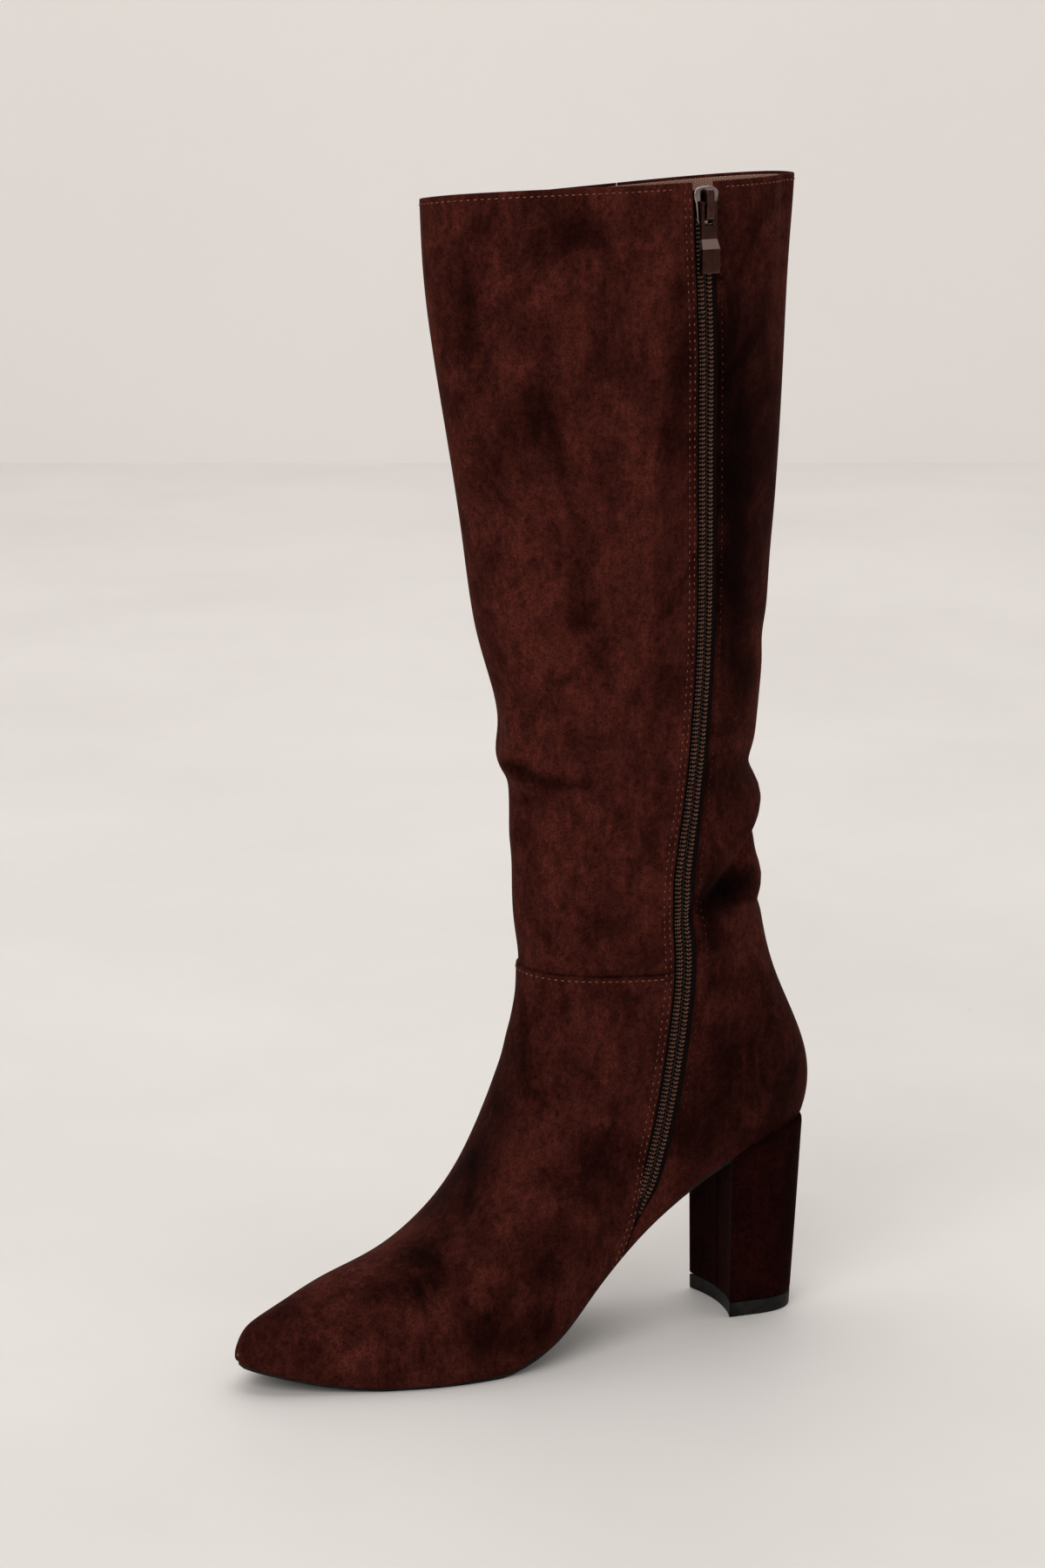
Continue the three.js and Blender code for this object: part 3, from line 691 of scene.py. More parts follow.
def feather_line(start_in, start_out):
    """The feather edge round the heel from the inner side's t to the outer side's."""
    crown = heel_crown()
    ease = np.linspace(1, 0, 160) ** 2
    t_in = crown - (crown - start_in) * ease
    t_out = crown - (crown - start_out) * ease
    inner = np.stack([t_in, feather_turn(t_in, 1)], -1)
    outer = np.stack([t_out, 2 * math.pi - feather_turn(t_out, -1)], -1)[::-1]
    inner[-1, 1] = outer[0, 1] = math.pi
    return np.concatenate([inner, outer[1:]])


def crossing(edge, feather):
    """The t at which an edge line leaves the feather edge."""
    low, high = CROSSING_ROWS
    return float(bisect(lambda t: edge(t) - feather(t), np.array(low), np.array(high)))


def back_grid(edge_in, edge_out, u, v):
    start_in = crossing(edge_in, feather_in)
    start_out = crossing(edge_out, feather_out)
    rise = np.linspace(0, 1, 700)
    t_in = start_in + (COLLAR - start_in) * rise
    t_out = start_out + (COLLAR - start_out) * rise
    left = resample(np.stack([t_in, edge_in(t_in)], -1), v)
    right = resample(np.stack([t_out, 2 * math.pi - edge_out(t_out)], -1), v)
    bottom = resample(feather_line(start_in, start_out), u)
    ends = np.linspace(left[-1], right[-1], 200)
    top = resample(ends, u)
    return coons(bottom, top, left, right, u, v)


def build_back(suede):
    across = shares(length=150, pitch=2.2, low=SEWN_STEPS)
    along = shares(length=400, pitch=2.2)
    t, turn = back_grid(zip_back, seam_back, across, along)
    edges = [SOLE_ROUND, TOP_ROUND, FOLD_ROUND, SEAM_ROUND]
    back = panel("shaft_back", t, turn, suede, edges, 0.0, [(2, BACK_ROW)])
    ride(back, "suede", "upper")


# ---- lining ------------------------------------------------------------------------------------
LINING_OUT = 1.85
LINING_IN = 2.25
LINING_SETBACK = 4.2       # from the slot's edge, so that the tape shows from inside too
LINING_RISE = 8.0          # the height over which it comes up to the suede, under the collar
LINING_START = TOE_START + 0.4
LINING_END = COLLAR - 0.03
LINING_ROUND = (0.5, 0.25)
LINING_PITCH = 5


def lining_slab(name, t, turn, cloth):
    flat = skin(t, turn)
    from_top = run(flat, 0)[-1:] - run(flat, 0)
    near = smooth(1 - from_top / LINING_RISE)
    out = LINING_OUT + (SUEDE + THINNEST - LINING_OUT) * near
    fall = rounded(from_top, *LINING_ROUND)
    outer, inner = skin(t, turn, -out), skin(t, turn, -out - (LINING_IN - LINING_OUT) - fall)
    uv = np.stack([run(flat, 1), run(flat, 0)], -1)
    return slab(name, outer, inner, cloth, uv)


def build_lining(cloth):
    wide_front = side_line_turn(LINE_T, slot_half(LINE_T, 1) + LINING_SETBACK, 1)
    wide_back = side_line_turn(LINE_T, -slot_half(LINE_T, 1) - LINING_SETBACK, 1)
    seam = side_line_turn(LINE_T, 0.0, -1)
    edge_in, edge_back, edge_out = on_t(wide_front), on_t(wide_back), on_t(seam)
    across = shares(length=180, pitch=LINING_PITCH)
    along = shares(length=450, pitch=LINING_PITCH, low=None)
    t = LINING_START + (LINING_END - LINING_START) * along[:, None] + 0 * across[None]
    low = -np.minimum(edge_out(t), feather_out(t))
    high = np.minimum(edge_in(t), feather_in(t))
    front = lining_slab("lining_front", t, low + (high - low) * across, cloth)
    across = shares(length=150, pitch=LINING_PITCH)
    along = shares(length=400, pitch=LINING_PITCH)
    t, turn = back_grid(edge_back, edge_out, across, along)
    back = lining_slab("lining_back", np.minimum(t, LINING_END), turn, cloth)
    for piece in (front, back):
        ride(piece, "suede", "upper")


# ---- sole and insole ---------------------------------------------------------------------------
def rim(rise, side, inset):
    """The level line of the form at a height above the sole's underside, as s and y."""
    def bottom(t):
        point = form(t, math.pi)
        return point[..., 2] - sole_under(-point[..., 0]) - rise
    toe = float(bisect(bottom, np.array(0.02), np.array(3.0)))
    heel = float(bisect(lambda t: -bottom(t), np.array(9.0), np.array(15.0)))
    ease = np.sin(np.linspace(0, math.pi / 2, 500)) ** 2
    t = toe + (heel - toe) * ease

    def above(turn):
        point = form(t, side * turn)
        return point[..., 2] - sole_under(-point[..., 0]) - rise
    turn = bisect(above, np.full(t.shape, 0.02), np.full(t.shape, math.pi))
    turn[0] = turn[-1] = math.pi
    line = form(t, side * turn)
    path = np.gradient(line[:, :2], axis=0)
    path /= np.maximum(np.linalg.norm(path, axis=1, keepdims=True), 1e-9)
    inward = np.stack([path[:, 1], -path[:, 0]], -1) * -side
    line[:, :2] += inward * inset
    return -line[:, 0], line[:, 1]


PLATE_ROWS = 130
PLATE_EDGE = (0, 0.15, 0.4, 0.8, 1.4, 2.2)   # columns' distances from the rim, in mm
PLATE_BODY = 3.2                             # and where the evenly spread ones start
HIDDEN_ROUND = 0.3                           # the share of the rounding that its other face gets


def build_plate(name, rise, thickness, inset, rounding, s_end, material):
    """A sheet that follows the sole's line, its top rise above the underside, within the form's outline.

    It runs from the toe back to s_end, or all the way where s_end is behind the heel.
    """
    s_in, y_in = rim(rise, 1, inset)
    s_out, y_out = rim(rise, -1, inset)
    toe = min(s_in.max(), s_out.max())
    heel = max(s_end, s_in.min(), s_out.min())
    share = np.linspace(0, 1, PLATE_ROWS)
    ease = 1 - np.cos(share * math.pi / 2) if s_end >= 0 else (1 - np.cos(share * math.pi)) / 2
    s = toe - (toe - heel) * ease
    order_in, order_out = np.argsort(s_in), np.argsort(s_out)
    inner = np.interp(s, s_in[order_in], y_in[order_in])
    outer = np.interp(s, s_out[order_out], y_out[order_out])
    half = np.maximum((outer - inner) / 2, 0.01)
    middle = (outer + inner) / 2
    body = np.linspace(-1, 1, 21)[1:-1]
    columns = []
    for e in PLATE_EDGE:
        columns.append(-1 + np.minimum(e / half, 0.9))
    for b in body:
        columns.append(b * (1 - np.minimum(PLATE_BODY / half, 0.95)))
    for e in PLATE_EDGE[::-1]:
        columns.append(1 - np.minimum(e / half, 0.9))
    w = np.stack(columns, -1)
    y = middle[:, None] + half[:, None] * w
    from_side = (1 - np.abs(w)) * half[:, None]
    from_tip = (toe - s)[:, None] + 0 * w
    near = np.minimum(from_side, from_tip)
    bulge = rounded(near, rounding, -rounding)
    x = -s[:, None] + 0 * w
    under = sole_under(s)[:, None] + rise - thickness
    top = under + thickness - HIDDEN_ROUND * bulge
    bottom = np.minimum(under + bulge, top - 0.02)
    upper_side = (np.stack([x, y, top], -1) + SHIFT) * MM
    lower_side = (np.stack([x, y, bottom], -1) + SHIFT) * MM
    uv = np.stack([y, s[:, None] + 0 * w], -1)
    return slab(name, upper_side, lower_side, material, uv)


# ---- heel --------------------------------------------------------------------------------------
TOP_PIECE = 6.0
HEEL_BREAST = 38.0
BREAST_HOLLOW = 3.2
HEEL_SHOULDER = 0.62       # share of the heel's length where its round back starts
HEEL_TURN = math.radians(4.8)
# Its height above the floor, its rear's s and its half-width there.
HEEL_LEVELS = [(0, 6.2, 19.4), (6, 5.8, 19.6), (40, 3.8, 20.6), (84.7, 1.6, 22.6)]
BREAST_SPREAD = 1.6        # how the breast's points gather at its middle
BACK_POWERS = (0.86, 0.72)  # how full the back's curve is, along and across
BACK_SWELL = 1.012
HEEL_COVER_LOW = 6.25      # the cover's lower edge
HEEL_SEAT = 3.0            # how far the cover goes in above the sole's underside
HEEL_UV_ROUND = 120
BREAST_SEAM_DEPTH = 1.1
BREAST_SEAM_HALF = 0.45


def heel_ring(grow, seam=0.0, breast=41, back=90):
    """Shares of the heel's outline as functions of its rear and half-width."""
    u = np.linspace(-1, 1, breast)
    u = np.sign(u) * np.abs(u) ** BREAST_SPREAD
    turn = math.pi * np.linspace(0, 1, back)
    cosine = np.cos(turn)

    def at(rear, half):
        front = HEEL_BREAST + grow
        wide = half + grow
        dent = seam * np.exp(-(u * wide / BREAST_SEAM_HALF) ** 2)
        breast_s = front - BREAST_HOLLOW * (1 - u * u) - dent
        breast_y = u * wide
        shoulder = rear + HEEL_SHOULDER * (front - rear)
        back_s = shoulder - (shoulder - rear + grow) * np.sin(turn) ** BACK_POWERS[0]
        back_y = np.sign(cosine) * np.abs(cosine) ** BACK_POWERS[1] * wide * BACK_SWELL
        s = np.concatenate([breast_s, back_s[1:-1]])
        y = np.concatenate([breast_y, back_y[1:-1]])
        c, n = math.cos(HEEL_TURN), math.sin(HEEL_TURN)
        return HEEL_BREAST + (s - HEEL_BREAST) * c - y * n, y * c + (s - HEEL_BREAST) * n
    return at


def heel_point(z, grow, seam):
    levels = np.array(HEEL_LEVELS)
    rear = np.interp(z, levels[:, 0], levels[:, 1])
    half = np.interp(z, levels[:, 0], levels[:, 2])
    ring = heel_ring(grow, seam)
    s, y = ring(np.asarray(rear), np.asarray(half))
    return s, y


def heel_wall(name, rows, material, seam=0.0, follow_seat=False):
    """A closed block: rows are (share of the way up or height, grow)."""
    rings = []
    for z, grow in rows:
        if not follow_seat:
            s, y = heel_point(z, grow, seam)
            rings.append(np.stack([-s, y, np.full(s.shape, float(z))], -1))
            continue
        s, y = heel_point(HEEL_LEVELS[2][0], grow, seam)
        for _ in range(4):
            seat = sole_under(s) + HEEL_SEAT
            level = HEEL_COVER_LOW + (seat - HEEL_COVER_LOW) * z
            points = [heel_point(value, grow, seam) for value in level]
            s = np.array([points[i][0][i] for i in range(len(points))])
            y = np.array([points[i][1][i] for i in range(len(points))])
        rings.append(np.stack([-s, y, level], -1))
    rings = (np.array(rings) + SHIFT) * MM
    rows_count, columns = rings.shape[:2]
    points = rings.reshape(-1, 3)
    faces = grid_faces(rows_count, columns, closed=True)
    low = rings[0].mean(0)
    high = rings[-1].mean(0)
    points = np.concatenate([points, [low, high]])
    a, b = len(points) - 2, len(points) - 1
    last = (rows_count - 1) * columns
    for j in range(columns):
        k = (j + 1) % columns
        faces.append((a, k, j))
        faces.append((b, last + j, last + k))
    around = np.arange(columns) / columns * HEEL_UV_ROUND
    up = rings[..., 2] / MM
    uv = np.stack([np.broadcast_to(around, up.shape), up], -1).reshape(-1, 2)
    uv = np.concatenate([uv, [[HEEL_UV_ROUND / 2, 0], [HEEL_UV_ROUND / 2, 90]]])
    return mesh_object(name, points, faces, material, uv)


def build_heel(cover, rubber):
    ends = [(0.0, -1.2), (0.002, -0.5), (0.008, -0.12), (0.02, 0.0)]
    body = [(share, 0.0) for share in np.linspace(0.05, 0.95, 24)]
    top = [(0.975, 0.0), (0.99, -0.15), (0.997, -0.6), (1.0, -1.4)]
    heel = heel_wall("heel_cover", ends + body + top, cover, BREAST_SEAM_DEPTH, True)
    ride(heel, "heel_cover", "heel")
    foot = [(0.0, -1.6), (0.0, -0.6), (0.15, -0.2), (0.5, 0.0)]
    head = [(3.0, 0.0), (TOP_PIECE - 0.4, 0.0), (TOP_PIECE - 0.15, -0.1), (TOP_PIECE, -0.45)]
    tip = heel_wall("heel_tip", foot + head, rubber)
    ride(tip, "sole_rubber", "heel_top_piece")


# ---- repeats: one small piece set on many points -----------------------------------------------
def repeat_tree():
    """Geometry nodes that stand a piece on each point, turned by the points' own directions."""
    tree = bpy.data.node_groups.new("Stand on points", "GeometryNodeTree")
    face = tree.interface
    face.new_socket("Geometry", in_out="INPUT", socket_type="NodeSocketGeometry")
    face.new_socket("Piece", in_out="INPUT", socket_type="NodeSocketObject")
    face.new_socket("Finish", in_out="INPUT", socket_type="NodeSocketMaterial")
    face.new_socket("Geometry", in_out="OUTPUT", socket_type="NodeSocketGeometry")
    nodes, links = tree.nodes, tree.links
    given = nodes.new("NodeGroupInput")
    result = nodes.new("NodeGroupOutput")
    piece = nodes.new("GeometryNodeObjectInfo")
    links.new(given.outputs["Piece"], piece.inputs["Object"])
    turns = []
    for axis, name in (("Z", "out"), ("X", "along")):
        way = nodes.new("GeometryNodeInputNamedAttribute")
        way.data_type = "FLOAT_VECTOR"
        way.inputs["Name"].default_value = name
        align = nodes.new("FunctionNodeAlignRotationToVector")
        align.axis = axis
        links.new(way.outputs["Attribute"], align.inputs["Vector"])
        turns.append(align)
    turns[1].pivot_axis = "Z"
    links.new(turns[0].outputs["Rotation"], turns[1].inputs["Rotation"])
    stand = nodes.new("GeometryNodeInstanceOnPoints")
    links.new(given.outputs["Geometry"], stand.inputs["Points"])
    links.new(piece.outputs["Geometry"], stand.inputs["Instance"])
    links.new(turns[1].outputs["Rotation"], stand.inputs["Rotation"])
    real = nodes.new("GeometryNodeRealizeInstances")
    links.new(stand.outputs["Instances"], real.inputs["Geometry"])
    finish = nodes.new("GeometryNodeSetMaterial")
    links.new(real.outputs["Geometry"], finish.inputs["Geometry"])
    links.new(given.outputs["Finish"], finish.inputs["Material"])
    links.new(finish.outputs["Geometry"], result.inputs["Geometry"])
    return tree


REPEAT = repeat_tree()


def repeat(name, piece, points, outs, alongs, material):
    """piece stood on every point: its Z along outs, its X along alongs."""
    mesh = bpy.data.meshes.new(name)
    mesh.from_pydata([tuple(p) for p in points], [], [])
    for key, values in (("out", outs), ("along", alongs)):
        layer = mesh.attributes.new(key, "FLOAT_VECTOR", "POINT")
        layer.data.foreach_set("vector", np.asarray(values, np.float32).ravel())
    carrier = link(bpy.data.objects.new(name + "_points", mesh))
    modifier = carrier.modifiers.new("Repeat", "NODES")
    modifier.node_group = REPEAT
    for socket in REPEAT.interface.items_tree:
        if socket.item_type == "SOCKET" and socket.in_out == "INPUT":
            if socket.name == "Piece":
                modifier[socket.identifier] = piece
            if socket.name == "Finish":
                modifier[socket.identifier] = material
    bpy.context.view_layer.update()
    graph = bpy.context.evaluated_depsgraph_get()
    made = bpy.data.meshes.new_from_object(carrier.evaluated_get(graph))
    drop(carrier)
    made.name = name
    made.polygons.foreach_set("use_smooth", [True] * len(made.polygons))
    return link(bpy.data.objects.new(name, made))


def pill(name, length, radius, flat=1.0, sides=8, rings=3, arch=0.0):
    """A rod along X with round ends, in millimetres; arch bows its middle up."""
    half = length / 2 - radius
    stations = []
    for i in range(1, rings + 1):
        turn = math.pi / 2 * i / rings
        stations.append((-half - radius * math.cos(turn), radius * math.sin(turn)))
    middle = [(x, radius) for x in np.linspace(-half, half, 5)[1:-1]]
    stations = stations + middle + [(-x, r) for x, r in stations[::-1]]
    points = [(-length / 2, 0, 0)]
    for x, r in stations:
        for j in range(sides):
            turn = 2 * math.pi * j / sides
            points.append((x, r * math.cos(turn), r * flat * math.sin(turn)))
    points.append((length / 2, 0, 0))
    points = np.array(points)
    points[:, 2] += arch * (1 - (2 * points[:, 0] / length) ** 2)
    faces = []
    for i in range(len(stations) - 1):
        for j in range(sides):
            a, b = 1 + i * sides + j, 1 + i * sides + (j + 1) % sides
            faces.append((a, b, b + sides, a + sides))
    last = len(points) - 1
    for j in range(sides):
        k = (j + 1) % sides
        faces.append((0, 1 + k, 1 + j))
        faces.append((last, last - sides + j, last - sides + k))
    return mesh_object(name, points * MM, faces, merge=0)


# ---- stitching ---------------------------------------------------------------------------------
def directions(t, turn, lift=0.0):
    """Points on the skin with the way out and the way along their own line."""
    points = skin(t, turn, lift)
    step = 1e-3
    up = skin(t + step, turn) - skin(np.maximum(t - step, 0), turn)
    around = skin(t, turn + step) - skin(t, turn - step)
    out = np.cross(around, up)
    out /= np.linalg.norm(out, axis=-1, keepdims=True)
    along = np.gradient(points, axis=0)
    along /= np.linalg.norm(along, axis=-1, keepdims=True)
    return points, out, along


def evenly(t, turn, pitch):
    """Points of a line of (t, turn) a pitch apart in millimetres."""
    points = skin(t, turn)
    length = np.concatenate([[0], np.cumsum(np.linalg.norm(np.diff(points, axis=0), axis=1))]) / MM
    count = max(int(length[-1] / pitch), 2)
    place = (np.arange(count) + 0.5) * length[-1] / count
    return np.interp(place, length, t), np.interp(place, length, turn)


def vamp_lift(t, turn):
    """How far the front's face is raised by the vamp's edge."""
    below = vamp_top_z(turn) - form(t, turn)[..., 2]
    return np.where(below > 0, VAMP_LIFT * smooth(1 - below / VAMP_RAMP), 0)


def stitch_row(t, turn, pitch, lift, over_vamp=True):
    t, turn = evenly(t, turn, pitch)
    return directions(t, turn, lift + (vamp_lift(t, turn) if over_vamp else 0))


def band(below, low_turn, high_turn):
    """A level line a distance below the collar, between two turns."""
    turn = np.linspace(low_turn, high_turn, 300)
    last = np.linspace(COLLAR - 1, COLLAR, 40)
    length = run(skin(last[:, None], turn[None]), 0)
    back = length[-1:] - length
    t = np.array([np.interp(-below, -back[:, j], last) for j in range(len(turn))])
    return t, turn


def beside_line(ahead, side, z_low, z_high, extra=None):
    """A line of (t, turn) at a distance from the side line, between two heights."""
    t = np.linspace(LOWEST_STITCH_ROW, COLLAR, 1500)
    offset = ahead if extra is None else ahead + extra(t)
    turn = side_line_turn(t, offset, side)
    z = form(t, side * turn)[..., 2]
    keep = (z > z_low) & (z < z_high) & (turn < (feather_in(t) if side > 0 else feather_out(t)))
    return t[keep], side * turn[keep]


COLLAR_STITCH = 2.3        # below the collar's edge
LONG_STITCH = 1.25
LONG_PITCH = 2.55
SHORT_STITCH = 1.0
SHORT_PITCH = 3.05
THREAD = 0.21
VAMP_STITCH = 2.2          # below the vamp's upper edge
SEAM_STITCH = 2.2          # beside the outer side's seam
LOWEST_STITCH = 20         # heights: of the front rows' foot
LOWEST_BACK_STITCH = 92    # of the back rows' foot
HIGHEST_STITCH = BOOT_HEIGHT - 2.5
PAIR_HEIGHTS = (148, 176)  # between these a second row runs beside the one behind the zip
PAIR_GAP = 2.5


def slot_edge(t):
    return slot_half(t, 1)


def slot_back_edge(t):
    return -slot_half(t, 1)


def build_stitches(thread, thread_in_shade):
    long_piece = pill("long_stitch", LONG_STITCH, THREAD, 0.8, arch=0.12)
    short_piece = pill("short_stitch", SHORT_STITCH, THREAD, 0.8, arch=0.1)
    first, last = -float(seam_front(COLLAR)) + 0.02, float(zip_front(COLLAR)) - 0.11
    front = band(COLLAR_STITCH, first, last)
    first, last = float(zip_back(COLLAR)) + 0.07, 2 * math.pi - float(seam_back(COLLAR)) - 0.02
    back = band(COLLAR_STITCH, first, last)
    rows = [stitch_row(*line, LONG_PITCH, 0.03, False) for line in (front, back)]
    across = np.linspace(0.012, 0.978, 300)
    seam = t_at_height(across, lambda turn: vamp_top_z(turn) - VAMP_STITCH)
    rows.append(stitch_row(seam, front_turn(seam, across), LONG_PITCH, 0.02))
    add_rows("stitches_long", rows, long_piece, thread)

    rows = []
    for row in FRONT_ROWS:
        line = beside_line(row, 1, LOWEST_STITCH, HIGHEST_STITCH, slot_edge)
        rows.append(stitch_row(*line, SHORT_PITCH, -0.1))
    line = beside_line(SEAM_STITCH, -1, LOWEST_STITCH, VAMP_TOP - 4)
    rows.append(stitch_row(*line, SHORT_PITCH, 0.0, False))
    add_rows("stitches_short", rows, short_piece, thread)

    # the rows behind the zip take the darker thread, as painted shade
    line = beside_line(-BACK_ROW, 1, LOWEST_BACK_STITCH, HIGHEST_STITCH, slot_back_edge)
    rows = [stitch_row(*line, SHORT_PITCH, -0.12, False)]
    line = beside_line(-BACK_ROW - PAIR_GAP, 1, *PAIR_HEIGHTS, slot_back_edge)
    rows.append(stitch_row(*line, SHORT_PITCH, 0.0, False))
    add_rows("stitches_back", rows, short_piece, thread_in_shade)
    drop(long_piece)
    drop(short_piece)


def add_rows(name, rows, piece, material, slot="suede", nodes=("upper",)):
    points, outs, alongs = (np.concatenate(part) for part in zip(*rows))
    ride(repeat(name, piece, points, outs, alongs, material), slot, *nodes)


# ---- the zip -----------------------------------------------------------------------------------
TAPE_OUT = 1.3
TAPE_IN = 1.75
TAPE_WIDTH = 11.0
TAPE_CLEAR = 0.06          # turn kept from the sole's edge
TAPE_TOP_Z = 447.4
TOOTH_PITCH = 1.64
COIL_AHEAD = 0.8           # the coil lies nearer to the slot's front edge
COIL_BED = 1.25            # the teeth stand on the tape at this depth
COIL_DIVE = (56.0, 66.0)   # heights between which the coil sinks below the closing slot
COIL_DEPTH = 1.35          # and how far it sinks
# Places of the coil's parts: across from its middle, and up from its bed.
TOOTH_AT = (1.62, 0.52)
CHAIN_AT = (1.72, 1.08)
TURN_AT = (2.95, 0.66)     # where its wire turns back
TIP_AT = (0.1, 0.86)       # where its two sides meet
CHAIN_HALF = 0.42          # the chain stitches' two strands lie this far from their middle


def t_on_zip(z):
    middle = side_line_turn(LINE_T, 0.0, 1)
    heights = form(LINE_T, middle)[..., 2]
    keep = LINE_T > LOWEST_ZIP_ROW
    return float(np.interp(z, heights[keep], LINE_T[keep]))


def build_tapes(cloth):
    t = np.linspace(t_on_zip(ZIP_END_Z - 2), t_on_zip(TAPE_TOP_Z), 260)
    for name, node, low, high in (("tape_front", "zip_tape_front", 0.1, TAPE_WIDTH),
                                  ("tape_back", "zip_tape_back", -TAPE_WIDTH, -0.1)):
        aheads = np.linspace(low, high, 14)
        turn = np.stack([side_line_turn(t, ahead, 1) for ahead in aheads], -1)
        turn = np.minimum(turn, feather_in(t)[:, None] - TAPE_CLEAR)
        if low > 0:
            turn = turn[:, ::-1]
            aheads = aheads[::-1]
        grid = t[:, None] + 0 * turn
        uv = np.stack([run(skin(grid, turn), 1), run(skin(grid, turn), 0)], -1)
        tape = slab(name, skin(grid, turn, -TAPE_OUT), skin(grid, turn, -TAPE_IN), cloth, uv)
        ride(tape, "zip_tape", node)


def coil_line(pitch, start):
    low, high = t_on_zip(ZIP_END_Z + 1.5), t_on_zip(TAPE_TOP_Z - 0.8)
    fine = np.linspace(low, high, 2000)
    turn = side_line_turn(fine, COIL_AHEAD, 1)
    points = skin(fine, turn)
    length = np.concatenate([[0], np.cumsum(np.linalg.norm(np.diff(points, axis=0), axis=1))]) / MM
    place = np.arange(start * pitch, length[-1], pitch)
    t = np.interp(place, length, fine)
    turn = np.interp(place, length, turn)
    z = form(t, turn)[..., 2]
    dive = COIL_DEPTH * (1 - smooth((z - COIL_DIVE[0]) / (COIL_DIVE[1] - COIL_DIVE[0])))
    points, out, along = directions(t, turn, -COIL_BED - dive)
    across = np.cross(out, along)
    return points, out, along, across


def build_coil(nylon, chain, painted_glint):
    tooth = pill("tooth", length=2.75, radius=0.52, flat=0.95, arch=0.18)
    stitch = pill("chain_link", length=1.2, radius=0.27, flat=0.9, sides=6, rings=2, arch=0.1)
    # small pieces at the coil's turns and where its sides meet, in a lighter finish as painted glints
    turn = pill("coil_turn", length=0.66, radius=0.23, sides=6, rings=2)
    tip = pill("coil_tip", length=0.36, radius=0.12, sides=6, rings=2)
    teeth, links, turns, tips = [], [], [], []
    for side, start in ((1, 0.25), (-1, 0.75)):
        points, out, along, across = coil_line(TOOTH_PITCH, start)

        def at(place, aside=0.0):
            return points + (across * (side * place[0] + aside) + out * place[1]) * MM
        teeth.append((at(TOOTH_AT), out, across * side * -0.94 + along * 0.34))
        for hand in (1, -1):
            links.append((at(CHAIN_AT, hand * CHAIN_HALF), out, along * 0.86 + across * hand * 0.5))
        turns.append((at(TURN_AT), out, along))
        tips.append((at(TIP_AT), out, along))
    for name, rows, piece, material in (("coil_teeth", teeth, tooth, nylon),
                                        ("coil_chain", links, stitch, chain),
                                        ("coil_turns", turns, turn, painted_glint),
                                        ("coil_tips", tips, tip, painted_glint)):
        add_rows(name, rows, piece, material, "zip_coil", ("zip_coil",))
        drop(piece)


# ---- slider and pull ---------------------------------------------------------------------------
PIN_UP = 1.0               # the pull's hinge line, above the slider's middle
PIN_OUT = 2.45             # and outwards from the plate's back
PLATE = 1.2
HINGE = frame["joints"][0]
SLIDER_ACROSS = -np.array(HINGE["axis"], float)
SLIDER_UP = np.array([0.0, 0.0, 1.0])
SLIDER_OUT = np.cross(SLIDER_ACROSS, SLIDER_UP)
SLIDER_AT = np.array(HINGE["pos_m"]) / MM - PIN_UP * SLIDER_UP - PIN_OUT * SLIDER_OUT
BRIDGE_HALF = 1.7
PULL_ROUND = 0.6           # of the pull's upper end, on the hinge line
PULL_HALVES = (4.1, 3.65)  # half its width below and above its step
FLAT_ANGLE = 24            # a metal part's edges that bend more, in degrees, are bevelled
SMOOTH_ANGLE = 38          # and those that then bend more stay sharp
ASIDE = -0.8               # the slider's face sits this far towards the slot's front edge
STEP_UP = (-16.9, -13.3)   # the pull's sloping step, below its hinge line


def stand_up(points, up=0.0, out=0.0):
    """From the slider's own (across, up, out) to the frame, in metres."""
    points = np.asarray(points, float) + np.array([0.0, up, out])
    return (SLIDER_AT + points[:, :1] * SLIDER_ACROSS + points[:, 1:2] * SLIDER_UP
            + points[:, 2:] * SLIDER_OUT) * MM


def prism(outline, low, high, plane):
    """A flat outline drawn out from low to high; plane 'face' is (across, up), 'side' is (up, out)."""
    count = len(outline)
    points = []
    for end in (low, high):
        for a, b in outline:
            points.append((a, b, end) if plane == "face" else (end, a, b))
    faces = [tuple(range(count))[::-1], tuple(range(count, 2 * count))]
    for i in range(count):
        k = (i + 1) % count
        faces.append((i, k, count + k, count + i))
    return np.array(points), faces


def metal_piece(name, points, faces, material, bevel, segments=2, up=0.0, out=0.0, cut=None):
    """A closed metal part with its sharp edges rounded over."""
    mesh = bpy.data.meshes.new(name)
    mesh.from_pydata([tuple(p) for p in points], [], faces)
    work = bmesh.new()
    work.from_mesh(mesh)
    bmesh.ops.recalc_face_normals(work, faces=work.faces)
    work.to_mesh(mesh)
    if cut is not None:
        mesh = cut_out(mesh, *cut)
        work.clear()
        work.from_mesh(mesh)
        bmesh.ops.remove_doubles(work, verts=work.verts, dist=1e-4)
    sharp = [e for e in work.edges if e.is_manifold and e.calc_face_angle(0) > math.radians(FLAT_ANGLE)]
    bmesh.ops.bevel(work, geom=sharp, offset=bevel, offset_type="OFFSET", segments=segments,
                    profile=0.5, affect="EDGES", clamp_overlap=True)
    work.to_mesh(mesh)
    work.free()
    local = np.empty(len(mesh.vertices) * 3)
    mesh.vertices.foreach_get("co", local)
    placed = stand_up(local.reshape(-1, 3), up, out)
    mesh.vertices.foreach_set("co", placed.ravel())
    mesh.polygons.foreach_set("use_smooth", [True] * len(mesh.polygons))
    mesh.materials.clear()
    mesh.materials.append(material)
    mesh.update()
    obj = link(bpy.data.objects.new(name, mesh))
    mesh.set_sharp_from_angle(angle=math.radians(SMOOTH_ANGLE))
    return obj


